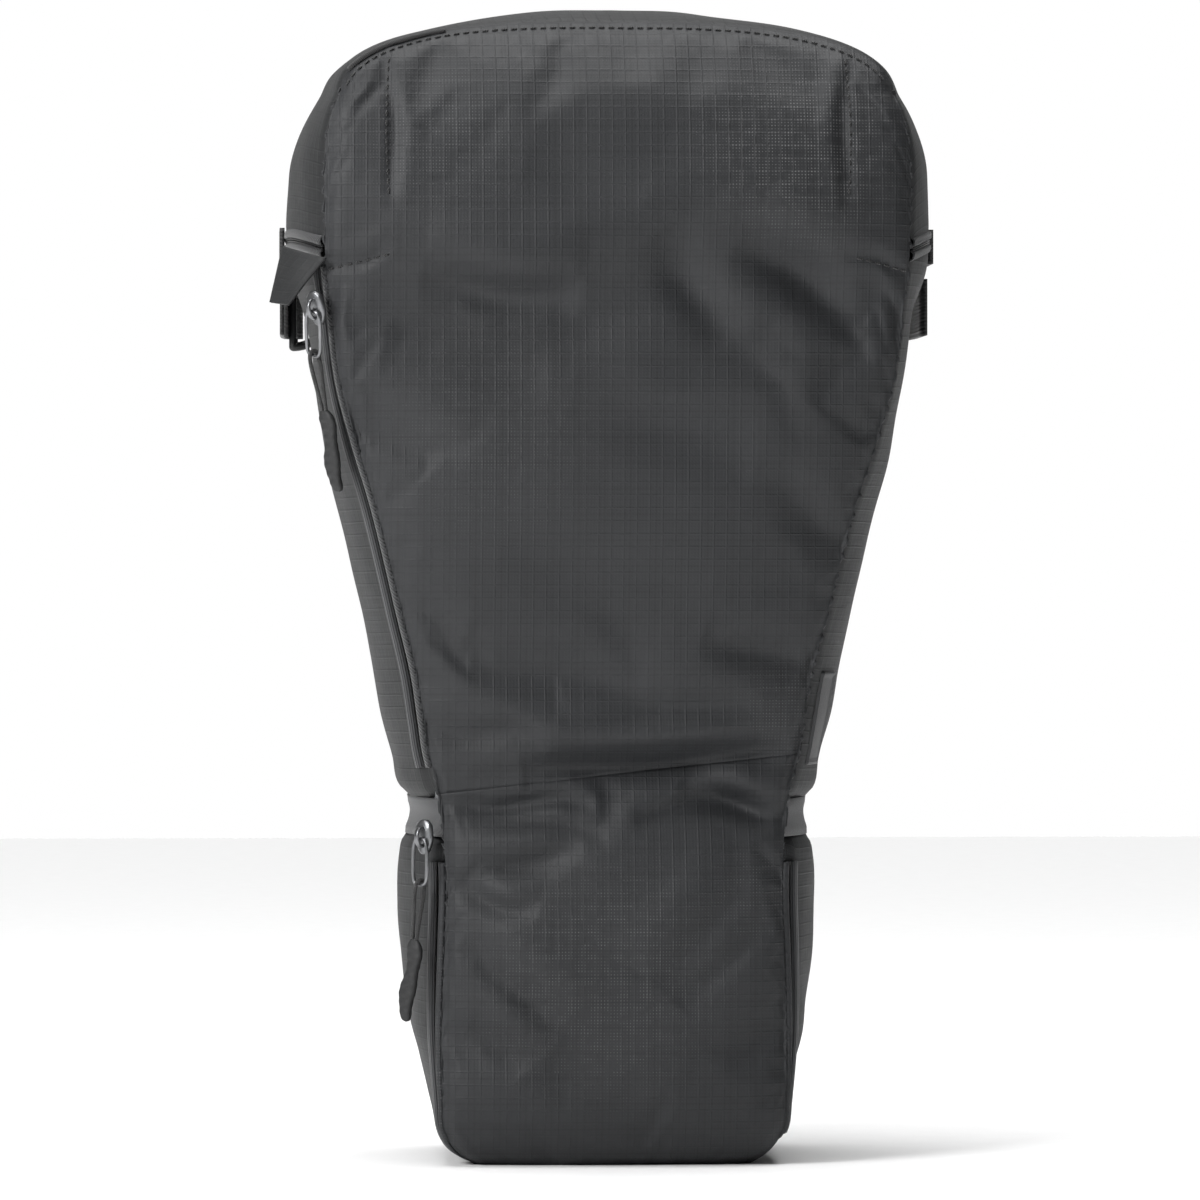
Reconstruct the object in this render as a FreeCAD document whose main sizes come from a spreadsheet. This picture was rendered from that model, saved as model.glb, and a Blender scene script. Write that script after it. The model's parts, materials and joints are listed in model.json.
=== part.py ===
"""Padded bag for a camera with a long lens: a tapered upper compartment under a hinged lid, a narrow
neck and a lower compartment with a zipped front flap. Millimetres, +Z up, the front faces -Y and the
origin is the middle of the base. Soft walls are plain layered solids: shell fabric, foam and lining."""
import FreeCAD, Part
import math
import os
import Sketcher

V = FreeCAD.Vector
doc = FreeCAD.newDocument("camera_bag")
sheet = doc.addObject("Spreadsheet::Sheet", "Sizes")

# Each level of the bag: height, half width of the front panel, half width of the sides, front and back.
LEVELS = {
    "base": (0, 48, 61, -50, 52),
    "hem": (14, 64, 77, -60, 62),
    "calf": (60, 73, 87, -64, 65),
    "thigh": (122, 73, 91, -64, 67),
    "hip": (142, 73, 89.5, -63, 66),
    "neck": (150, 74, 86, -58, 63),
    "waist": (166, 78, 92, -62, 68),
    "rim": (389.8, 125, 141, -95, 76),
    "brim": (390.2, 125, 141, -95, 76),
    "temple": (440, 122, 136, -95, 73),
    "brow": (466, 110, 124.5, -88, 64),
    "bend": (484, 88, 101, -72, 50),
    "crown": (494, 60, 70, -57, 40),
    "top": (500, 32, 40, -40, 26),
}
LEVEL_SIZES = ("height", "front_half", "side_half", "front_edge", "back_edge")
DIMENSIONS = {
    "facet_share": 0.75,  # how much of the side's extra width the slanted zip facet takes
    "facet_depth": 12,
    "side_depth": 30,
    "back_corner": 12,
    "skin": 1.5,
    "foam": 6,
    "lining": 1,
    "board": 1.6,
    "seam_gap": 0.4,
    "zip_tape": 4,
    "zip_teeth": 1.6,
    "zip_proud": 0.8,
    "zip_start": 3,
    "tab_length": 24,
    "tab_height": 15,
    "tab_thick": 2.4,
    "flap_foot": 16,
    "flap_head": 136,
    "flap_tape_head": 131,
    "side_zip_foot": 172,
    "side_zip_head": 384,
    "panel_head": 388.4,
    "lid_panel_foot": 391.6,
    "base_rim": 4,
    "divider_foot": 144,
    "divider_head": 156,
    "webbing_width": 25,
    "webbing": 2,
    "ring_wire": 2,
    "ring_radius": 16,
    "ring_height": 374,
    "ring_reach": 137,
    "ring_back": 80,
    "slider_length": 15,
    "slider_width": 9,
    "bridge_width": 2.2,
    "bridge_length": 9,
    "bridge_bar": 1.4,
    "bail_length": 21,
    "bail_width": 9.6,
    "bail_wire": 1.6,
    "grip_length": 36,
    "grip_width": 8.6,
    "grip_thick": 4,
    "cord_wire": 1.8,
    "cord_drop": 24,
    "patch_lift": 0.9,
    "hood_lift": 1.2,
    "far": 260,
}


class Size:
    """A length that carries both its value and the sheet formula that gives it."""

    def __init__(self, value, formula):
        self.value = value
        self.formula = formula

    def __add__(self, other):
        other = as_size(other)
        return Size(self.value + other.value, f"({self.formula} + {other.formula})")

    def __sub__(self, other):
        other = as_size(other)
        return Size(self.value - other.value, f"({self.formula} - {other.formula})")

    def __mul__(self, other):
        other = as_size(other)
        return Size(self.value * other.value, f"({self.formula} * {other.formula})")

    def __neg__(self):
        return Size(-self.value, f"(0 - {self.formula})")


def as_size(number):
    return number if isinstance(number, Size) else Size(number, repr(number))


def fill_sheet():
    """Writes every driving dimension into the sheet, one row each, and returns them by name."""
    rows = [(f"{level}_{size}", value) for level, values in LEVELS.items()
            for size, value in zip(LEVEL_SIZES, values)]
    rows += list(DIMENSIONS.items())
    for row, (alias, value) in enumerate(rows, start=1):
        sheet.set(f"A{row}", alias)
        sheet.set(f"B{row}", str(value))
        sheet.setAlias(f"B{row}", alias)
    return {alias: Size(value, f"Sizes.{alias}") for alias, value in rows}


D = fill_sheet()
doc.recompute()


ZERO = Size(0, "0")
OVERRUN = 0.05  # how far an open end runs on, as a share of the step to the next level


def bind(thing, **sizes):
    """Sets each named property to its size's formula in the sheet."""
    for name, size in sizes.items():
        thing.setExpression(name.replace("__", "."), as_size(size).formula)


def outline(name, points, placement=None):
    """A closed polygon sketch whose corners are bound to the sheet."""
    sketch = doc.addObject("Sketcher::SketchObject", name)
    if placement:
        sketch.Placement = placement
    count = len(points)
    corners = [V(as_size(x).value, as_size(y).value, 0) for x, y in points]
    for i in range(count):
        sketch.addGeometry(Part.LineSegment(corners[i], corners[(i + 1) % count]), False)
    for i in range(count):
        sketch.addConstraint(Sketcher.Constraint("Coincident", i, 2, (i + 1) % count, 1))
    for i, (x, y) in enumerate(points):
        for kind, size in (("DistanceX", as_size(x)), ("DistanceY", as_size(y))):
            index = sketch.addConstraint(Sketcher.Constraint(kind, -1, 1, i, 1, size.value))
            sketch.setExpression(f"Constraints[{index}]", size.formula)
    return sketch


def section(name, sizes, inset, lift):
    """One level's outline, drawn inset from the outside and lifted."""
    height, front, side, ahead, behind = sizes
    front, side = front - inset, side - inset
    ahead, behind = ahead + inset, behind - inset
    facet = front + (side - front) * D["facet_share"]
    right = [
        (front, ahead),
        (facet, ahead + D["facet_depth"]),
        (side, ahead + D["side_depth"]),
        (side, behind - D["back_corner"]),
        (side - D["back_corner"], behind),
    ]
    left = [(-x, y) for x, y in reversed(right)]
    sketch = outline(name, right + left)
    bind(sketch, Placement__Base__z=height + lift)
    return sketch


def level(name):
    return [D[f"{name}_{size}"] for size in LEVEL_SIZES]


def beyond(name, neighbour, share):
    """A level's sizes carried on past it, away from its neighbour, so that an open end is cut clean."""
    return [a + (a - b) * share for a, b in zip(level(name), level(neighbour))]


def form(name, levels, inset, closed_foot=0, closed_head=0):
    """A ruled solid through the levels' outlines, all drawn inset. The closed levels at an end move in too,
    and an open end runs on past its level."""
    sizes = [level(each) for each in levels]
    if not closed_foot:
        sizes[0] = beyond(levels[0], levels[1], OVERRUN)
    if not closed_head:
        sizes[-1] = beyond(levels[-1], levels[-2], OVERRUN)
    lifts = [inset if i < closed_foot else -inset if i >= len(levels) - closed_head else ZERO
             for i in range(len(levels))]
    loft = doc.addObject("Part::Loft", name)
    loft.Sections = [section(f"{name}_{each}", size, inset, lift)
                     for each, size, lift in zip(levels, sizes, lifts)]
    loft.Solid = True
    loft.Ruled = True
    return loft


def box(name, low, high):
    """A block between two corners."""
    block = doc.addObject("Part::Box", name)
    bind(block, Length=as_size(high[0]) - low[0], Width=as_size(high[1]) - low[1],
         Height=as_size(high[2]) - low[2])
    bind(block, Placement__Base__x=low[0], Placement__Base__y=low[1], Placement__Base__z=low[2])
    return block


def front_prism(name, points, ahead, behind):
    """A prism along Y over an outline given as (x, z) corners."""
    upright = FreeCAD.Placement(V(0, 0, 0), FreeCAD.Rotation(V(1, 0, 0), 90))
    sketch = outline(f"{name}_outline", points, upright)
    bind(sketch, Placement__Base__y=behind)
    prism = doc.addObject("Part::Extrusion", name)
    prism.Base = sketch
    prism.DirMode = "Normal"
    prism.Solid = True
    bind(prism, LengthFwd=as_size(behind) - ahead)
    return prism


def cut(name, base, *tools):
    """The base without its tools, one after another."""
    for i, tool in enumerate(tools):
        result = doc.addObject("Part::Cut", name if i == len(tools) - 1 else f"{name}_cut{i}")
        result.Base = base
        result.Tool = tool
        base = result
    return base


def common(name, first, second):
    result = doc.addObject("Part::Common", name)
    result.Base = first
    result.Tool = second
    return result


def fuse(name, *shapes):
    result = doc.addObject("Part::MultiFuse", name)
    result.Shapes = list(shapes)
    return result


def group(name, *shapes):
    """Separate solids that share one sub-part."""
    result = doc.addObject("Part::Compound", name)
    result.Links = list(shapes)
    return result


SUB_PARTS = []


def sub_part(thing, label):
    """Names a finished sub-part; the label is its file's name."""
    thing.Label = label
    SUB_PARTS.append(thing)
    return thing


FAR = D["far"]
SKIN = D["skin"]
FOAM_INSIDE = D["skin"] + D["foam"]
LINING_INSIDE = FOAM_INSIDE + D["lining"]
LOWER = ("base", "hem", "calf", "thigh", "hip")
MAIN = ("hip", "neck", "waist", "rim")
LID = ("brim", "temple", "brow", "bend", "crown", "top")
FRONT_DEPTH = Size(-40, "-40")  # the front regions end here, behind the front wall at every level
BACK_DEPTH = Size(20, "20")  # the back regions start here
GROUPS = {"lower": (LOWER, 1, 0), "main": (MAIN, 0, 0), "lid": (LID, 0, 3)}
FORMS = {}


def group_form(group, inset):
    """A compartment's form at an inset, made once."""
    key = (group, inset.formula)
    if key not in FORMS:
        levels, foot, head = GROUPS[group]
        FORMS[key] = form(f"{group}_form_{len(FORMS)}", levels, inset, foot, head)
    return FORMS[key]


def slab(name, low, high):
    return box(name, (-FAR, -FAR, low), (FAR, FAR, high))


def layer(name, group, outside, inside, low, high):
    """The space between two insets of a compartment's form and between two heights."""
    shell = cut(f"{name}_shell", group_form(group, outside), group_form(group, inside))
    return common(name, shell, slab(f"{name}_slab", low, high))


def line(levels, size, grow, foot=None, head=None):
    """The (x, z) corners along a half width, grown sideways. An end with no height of its own runs straight
    on past its level."""
    points = [(D[f"{each}_{size}"], D[f"{each}_height"]) for each in levels]
    ends = []
    for end, neighbour, height in ((points[0], points[1], foot), (points[-1], points[-2], head)):
        past = [a + (a - b) * OVERRUN for a, b in zip(end, neighbour)]
        ends.append((end[0], height) if height else past)
    return [(x + grow, z) for x, z in [ends[0]] + points[1:-1] + [ends[1]]]


def front_region(name, levels, grow, foot=None, head=None):
    """The space before and behind the front panel, grown by grow."""
    edge = line(levels, "front_half", grow, foot, head)
    return front_prism(name, edge + [(-x, z) for x, z in reversed(edge)], -FAR, FRONT_DEPTH)


def back_region(name, levels, grow, foot=None, head=None):
    edge = line(levels, "side_half", grow - D["back_corner"], foot, head)
    return front_prism(name, edge + [(-x, z) for x, z in reversed(edge)], BACK_DEPTH, FAR)


def left_strip(name, near, far):
    """A strip beside the front panel's left edge, between two distances from it."""
    levels = ("waist", "rim")
    inner = [(-x, z) for x, z in line(levels, "front_half", near)]
    outer = [(-x, z) for x, z in line(levels, "front_half", far)]
    return front_prism(name, inner + outer[::-1], -FAR, FRONT_DEPTH)


LEFT = box("left_half", (-FAR, -FAR, -FAR), (ZERO, FAR, FAR * 2))
RIGHT = box("right_half", (ZERO, -FAR, -FAR), (FAR, FAR, FAR * 2))
PROUD = -D["zip_proud"]
TEETH_INSIDE = D["skin"] - D["zip_proud"]
TAPE = D["zip_tape"]
TEETH = D["zip_teeth"]
GAP = D["seam_gap"]
TOP = D["top_height"] + 20
TAB_FRONT = 12  # where the lid's tabs begin


def sides_and_back(prefix, walls, back):
    """Splits a wall that has no front into its left, right and back pieces."""
    side_walls = cut(f"{prefix}_sides", walls, back)
    return (
        common(f"{prefix}_left", side_walls, LEFT),
        common(f"{prefix}_right", side_walls, RIGHT),
        common(f"{prefix}_back", walls, back),
    )


def make_lower():
    """The lower compartment: its fixed walls and the flap that fills its front, between U-shaped tapes."""
    levels = LOWER[1:]
    foot, head, tape_head = D["flap_foot"], D["flap_head"], D["flap_tape_head"]
    ends = {"flap": ZERO, "flap_tape": TAPE, "flap_teeth": TAPE + TEETH}
    ends["shell_teeth_edge"] = ends["flap_teeth"] + GAP
    ends["shell_teeth"] = ends["shell_teeth_edge"] + TEETH
    ends["shell_tape"] = ends["shell_teeth"] + TAPE
    steps = {
        name: front_region(f"lower_{name}_region", levels, grow, foot - grow,
                           head if name == "flap" else tape_head)
        for name, grow in ends.items()
    }
    base_top, hip = D["base_rim"], D["hip_height"]
    skin = layer("lower_skin", "lower", ZERO, SKIN, ZERO, hip)
    proud = layer("lower_proud", "lower", PROUD, TEETH_INSIDE, ZERO, tape_head)
    foam = layer("lower_foam_layer", "lower", SKIN, FOAM_INSIDE, SKIN + D["board"], hip)
    lining = layer("lower_lining_layer", "lower", FOAM_INSIDE, LINING_INSIDE, FOAM_INSIDE, hip)

    sub_part(common("flap_panel_solid", skin, steps["flap"]), "flap_panel")
    for label, stock, inner, outer in (
        ("flap_zip_tape", skin, "flap", "flap_tape"),
        ("flap_zip_teeth", proud, "flap_tape", "flap_teeth"),
        ("lower_zip_teeth", proud, "shell_teeth_edge", "shell_teeth"),
        ("lower_zip_tape", skin, "shell_teeth", "shell_tape"),
    ):
        band = cut(f"{label}_band", steps[outer], steps[inner])
        sub_part(common(f"{label}_solid", stock, band), label)
    inset_flap = front_region("flap_inner_region", levels, -GAP, foot + 1, head - 1)
    sub_part(common("flap_foam_solid", foam, inset_flap), "flap_foam")
    sub_part(common("flap_lining_solid", lining, inset_flap), "flap_lining")

    opening = front_region("lower_opening_region", levels, GAP, foot - GAP, hip + 1)
    walls = cut("lower_walls", skin, slab("lower_floor_slab", -FAR, base_top), steps["shell_tape"], opening)
    back = back_region("lower_back_region", LOWER[1:], ZERO, base_top, hip)
    left, right, rear = sides_and_back("lower_skin", walls, back)
    sub_part(left, "lower_left_gusset")
    sub_part(right, "lower_right_gusset")
    sub_part(rear, "lower_back_panel")
    sub_part(common("base_panel_solid", skin, slab("base_slab", ZERO, base_top)), "base_panel")
    sub_part(common("base_board_solid", group_form("lower", SKIN),
                    slab("board_slab", SKIN, SKIN + D["board"])), "base_board")
    floor = slab("lower_foam_floor_slab", ZERO, FOAM_INSIDE)
    sub_part(common("base_foam_solid", foam, floor), "base_foam")
    left, right, rear = sides_and_back("lower_foam", cut("lower_foam_walls", foam, floor, opening), back)
    sub_part(group("lower_side_foam_group", left, right), "lower_side_foam")
    sub_part(rear, "lower_back_foam")
    sub_part(cut("lower_lining_solid", lining, opening), "lower_lining")


PATCH_OUTLINE = [(84, 172), (97, 172), (106, 214), (93, 214)]
PATCH_DEPTH = -42  # the patch wraps back to here
HOOD_OUTLINE = [(-121, 389), (-137, 371), (-144, 372), (-143, 389.4)]
HOOD_DEPTH = -66


def make_main():
    """The upper compartment below the lid, with the neck at its foot and the side zip on its left."""
    hip, waist, rim = D["hip_height"], D["divider_head"] + 2, D["rim_height"]
    tape_foot, teeth_foot = rim - TEETH - TAPE, rim - TEETH
    front = front_region("main_front_region", MAIN, ZERO)
    back = back_region("main_back_region", MAIN, ZERO)
    skin = layer("main_skin", "main", ZERO, SKIN, hip, rim)
    proud = layer("main_proud", "main", PROUD, TEETH_INSIDE, hip, rim)
    foam = layer("main_foam_layer", "main", SKIN, FOAM_INSIDE, D["divider_head"], teeth_foot)
    lining = layer("main_lining_layer", "main", FOAM_INSIDE, LINING_INSIDE, D["divider_head"], teeth_foot)

    front_skin = common("main_front_skin", skin, front)
    panel_slab = slab("main_panel_slab", hip, D["panel_head"])
    sub_part(common("main_front_solid", front_skin, panel_slab), "main_front_panel")
    around = cut("main_around", skin, front)
    sub_part(common("neck_band_solid", around, slab("neck_slab", hip, waist)), "neck_band")
    sub_part(common("lid_zip_shell_tape_solid", around, slab("rim_tape_slab", tape_foot, teeth_foot)),
             "lid_zip_shell_tape")
    rim_teeth = common("rim_teeth", proud, slab("rim_teeth_slab", teeth_foot, rim))
    zip_start = front_region("rim_zip_start", MAIN, D["zip_start"])
    sub_part(cut("lid_zip_shell_teeth_solid", rim_teeth, zip_start), "lid_zip_shell_teeth")

    zip_slab = slab("side_zip_slab", D["side_zip_foot"], D["side_zip_head"])
    strips = []
    reach = ZERO
    for name, stock, width in (("front", skin, TAPE), ("teeth", proud, TEETH + TEETH), ("rear", skin, TAPE)):
        beside = left_strip(f"side_zip_{name}_line", reach, reach + width)
        strip = common(f"side_zip_{name}_strip", beside, zip_slab)
        strips.append(common(f"side_zip_{name}", stock, strip))
        reach = reach + width
    sub_part(group("side_zip_tape_group", strips[0], strips[2]), "side_zip_tapes")
    sub_part(strips[1], "side_zip_teeth")
    side_zip = common("side_zip_strip", left_strip("side_zip_line", ZERO, reach), zip_slab)
    walls = common("main_walls", around, slab("main_wall_slab", waist, tape_foot))
    left, right, rear = sides_and_back("main_skin", walls, back)
    sub_part(cut("main_left_gusset_solid", left, side_zip), "main_left_gusset")
    sub_part(right, "main_right_gusset")
    sub_part(rear, "main_back_panel")

    sub_part(common("main_front_foam_solid", foam, front), "main_front_foam")
    board_line = back_region("board_line", MAIN, -D["zip_tape"])
    board_slab = slab("back_board_slab", D["waist_height"], D["side_zip_head"])
    board_region = common("board_region", board_line, board_slab)
    board_stock = cut("board_stock", group_form("main", SKIN), group_form("main", SKIN + D["board"]))
    board = sub_part(common("back_board_solid", board_stock, board_region), "back_board")
    left, right, rear = sides_and_back("main_foam", cut("main_foam_walls", foam, front), back)
    sub_part(left, "main_left_foam")
    sub_part(right, "main_right_foam")
    sub_part(cut("main_back_foam_solid", rear, board), "main_back_foam")
    sub_part(lining, "main_lining")
    sub_part(common("neck_divider_solid", group_form("main", SKIN),
                    slab("divider_slab", D["divider_foot"], D["divider_head"])), "neck_divider")

    patch = layer("patch_layer", "main", -D["patch_lift"], -D["zip_proud"] * 0.1, hip, rim)
    sub_part(common("label_patch_solid", patch, front_prism("patch_prism", PATCH_OUTLINE, -FAR, PATCH_DEPTH)),
             "label_patch")
    hood = layer("hood_layer", "main", -D["hood_lift"] - 1, -D["hood_lift"], D["neck_height"], rim - GAP)
    sub_part(common("side_zip_hood_solid", hood, front_prism("hood_prism", HOOD_OUTLINE, -FAR, HOOD_DEPTH)),
             "side_zip_hood")


def make_lid():
    """The lid: hinged at its front edge, with zip tape along the sides and back."""
    brim, bend = D["brim_height"], D["bend_height"]
    teeth_foot = brim + 0.1
    teeth_head = teeth_foot + TEETH
    tape_head = teeth_head + TAPE
    front_levels = LID[:4]
    front = front_region("lid_front_region", front_levels, ZERO)
    back = back_region("lid_back_region", front_levels, ZERO)
    skin = layer("lid_skin", "lid", ZERO, SKIN, brim, TOP)
    proud = layer("lid_proud", "lid", PROUD, TEETH_INSIDE, teeth_foot, teeth_head)
    front_skin = common("lid_front_skin", skin, front)
    panel_slab = slab("lid_panel_slab", D["lid_panel_foot"], bend)
    sub_part(common("lid_front_solid", front_skin, panel_slab), "lid_front_panel")
    sub_part(common("lid_top_solid", skin, slab("lid_top_slab", bend, TOP)), "lid_top_panel")
    around = cut("lid_around", skin, front)
    zip_start = front_region("lid_zip_start", front_levels, D["zip_start"])
    sub_part(cut("lid_zip_teeth_solid", proud, zip_start), "lid_zip_teeth")
    sub_part(common("lid_zip_tape_solid", around, slab("lid_tape_slab", teeth_head, tape_head)), "lid_zip_tape")
    walls = common("lid_walls", around, slab("lid_wall_slab", tape_head, bend))
    left, right, rear = sides_and_back("lid_skin", walls, back)
    sub_part(left, "lid_left_gusset")
    sub_part(right, "lid_right_gusset")
    sub_part(rear, "lid_back_panel")
    sub_part(layer("lid_foam_solid", "lid", SKIN, FOAM_INSIDE, teeth_head, TOP), "lid_foam")
    sub_part(layer("lid_lining_solid", "lid", FOAM_INSIDE, LINING_INSIDE, teeth_head, TOP), "lid_lining")


def make_lid_tabs():
    """Folded webbing tabs sewn to the lid's sides, to hold while the zip is pulled."""
    inner = D["brim_side_half"] + D["zip_proud"] * 0.5
    outer = inner + D["tab_thick"]
    foot, head = D["brim_height"] + 2, D["brim_height"] + D["tab_height"] + 2
    near, far = TAB_FRONT, D["tab_length"] + TAB_FRONT
    tabs = [box("right_tab", (inner, near, foot), (outer, far, head)),
            box("left_tab", (-outer, near, foot), (-inner, far, head))]
    sub_part(group("lid_tab_group", *tabs), "lid_tabs")


def mirrored(side, x):
    return as_size(x) * side


def cylinder(name, radius, height, place, turn=None):
    thing = doc.addObject("Part::Cylinder", name)
    thing.Placement = FreeCAD.Placement(V(*[as_size(each).value for each in place]), turn or FreeCAD.Rotation())
    bind(thing, Radius=radius, Height=height)
    for axis, size in zip("xyz", place):
        bind(thing, **{f"Placement__Base__{axis}": size})
    return thing


def flat_solid(name, points, thick, foot):
    """A plate over an (x, y) outline."""
    sketch = outline(f"{name}_outline", points)
    bind(sketch, Placement__Base__z=foot)
    plate = doc.addObject("Part::Extrusion", name)
    plate.Base = sketch
    plate.DirMode = "Normal"
    plate.Solid = True
    bind(plate, LengthFwd=thick)
    return plate


LOOP_START = 20  # the strap loops are sewn to the gussets from here back


def make_strap_side(side, word):
    """A webbing tab sewn to the gusset, looped round the upright bar of a D-ring that lies on the back."""
    reach, back, wire, radius = D["ring_reach"], D["ring_back"], D["ring_wire"], D["ring_radius"]
    eye = wire + 0.3
    thick = D["webbing"]
    width = D["webbing_width"]
    foot = D["ring_height"] - width * 0.5
    corner = D["rim_back_edge"] - D["back_corner"]
    inner = D["rim_side_half"] + GAP
    outer_x = reach + eye + thick
    profile = [(inner, LOOP_START), (inner + thick, LOOP_START), (inner + thick, corner), (outer_x, back),
               (reach + eye, back), (inner, corner)]
    tab = flat_solid(f"{word}_tab", [(mirrored(side, x), y) for x, y in profile], width, foot)
    centre = (mirrored(side, reach), back, foot)
    tube = cylinder(f"{word}_tube", eye + thick, width, centre)
    hole = cylinder(f"{word}_hole", eye, width, centre)
    loop = cut(f"{word}_loop_solid", fuse(f"{word}_tab_and_tube", tab, tube), hole)
    sub_part(loop, f"{word}_strap_loop")

    bow = doc.addObject("Part::Torus", f"{word}_bow")
    turn = FreeCAD.Rotation(V(1, 0, 0), 90) * FreeCAD.Rotation(V(0, 0, 1), 90 if side > 0 else -90)
    bow.Placement = FreeCAD.Placement(V(0, 0, 0), turn)
    bow.Angle3 = 180
    bind(bow, Radius1=radius, Radius2=wire, Placement__Base__x=centre[0], Placement__Base__y=back,
         Placement__Base__z=D["ring_height"])
    bar = cylinder(f"{word}_bar", wire, radius * 2, (centre[0], back, D["ring_height"] - radius))
    ends = []
    for end, height in (("low", D["ring_height"] - radius), ("high", D["ring_height"] + radius)):
        knuckle = doc.addObject("Part::Sphere", f"{word}_{end}_knuckle")
        bind(knuckle, Radius=wire, Placement__Base__x=centre[0], Placement__Base__y=back,
             Placement__Base__z=height)
        ends.append(knuckle)
    sub_part(fuse(f"{word}_ring_solid", bow, bar, *ends), f"{word}_d_ring")


PLATE_LIFT = 1.2  # from the zip tape's face to the slider, clear of the teeth
AXIS_GAP = 1.5  # from the slider's top to the middle of the bail's bar
BAR_OFFSET = -1.0  # the bail's bar sits this far below the slider's middle
SLIDER_PLATE = 2.6
BRIDGE_HOLE = 3.1  # the height of the opening in the slider's bridge


def cord_route(drop):
    """The middle of the cord: from the grip, over the bail's bar at the origin, and back to the grip."""
    return [(-1.1, -drop, 0), (-1.3, -14.6, 0.5), (-0.9, -5, 2.1), (-0.4, 2, 2.1),
            (0.4, 2, -2.1), (0.9, -5, -2.1), (1.3, -14.6, -0.5), (1.1, -drop, 0)]


def tube(points, radius):
    """A round tube along straight runs joined by tangent arcs, and the radii of the arcs."""
    route = [V(*point) for point in points]
    runs = [b - a for a, b in zip(route, route[1:])]
    edges, radii, start = [], [], route[0]
    for corner, before, after in zip(route[1:-1], runs, runs[1:]):
        turn = before.getAngle(after)
        setback = 0.45 * min(before.Length, after.Length)
        radii.append(setback / math.tan(turn / 2))
        u, w = V(before).normalize(), V(after).normalize()
        first, last = corner - u * setback, corner + w * setback
        inward = (w - u).normalize()
        middle = corner + inward * (setback * math.tan(turn / 4))
        edges += [Part.LineSegment(start, first).toShape(), Part.Arc(first, middle, last).toShape()]
        start = last
    edges.append(Part.LineSegment(start, route[-1]).toShape())
    path = Part.Wire(edges)
    ring = Part.Wire(Part.makeCircle(radius, route[0], runs[0]))
    solid = path.makePipeShell([ring], True, False)
    expected = math.pi * radius ** 2 * path.Length
    print(f"cord: length {path.Length:.2f}, radii {[round(r, 2) for r in radii]}, "
          f"volume share {solid.Volume / expected:.4f}")
    return solid


def frame_at(origin, up, out):
    """A placement whose Y runs up the zip and whose Z points out of the fabric."""
    z = V(out).normalize()
    y = (up - z * up.dot(z)).normalize()
    x = y.cross(z)
    return FreeCAD.Placement(FreeCAD.Matrix(x.x, y.x, z.x, origin.x, x.y, y.y, z.y, origin.y,
                                            x.z, y.z, z.z, origin.z, 0, 0, 0, 1))


def placed(thing, placement, label):
    thing.Placement = placement
    return sub_part(thing, label)


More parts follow.
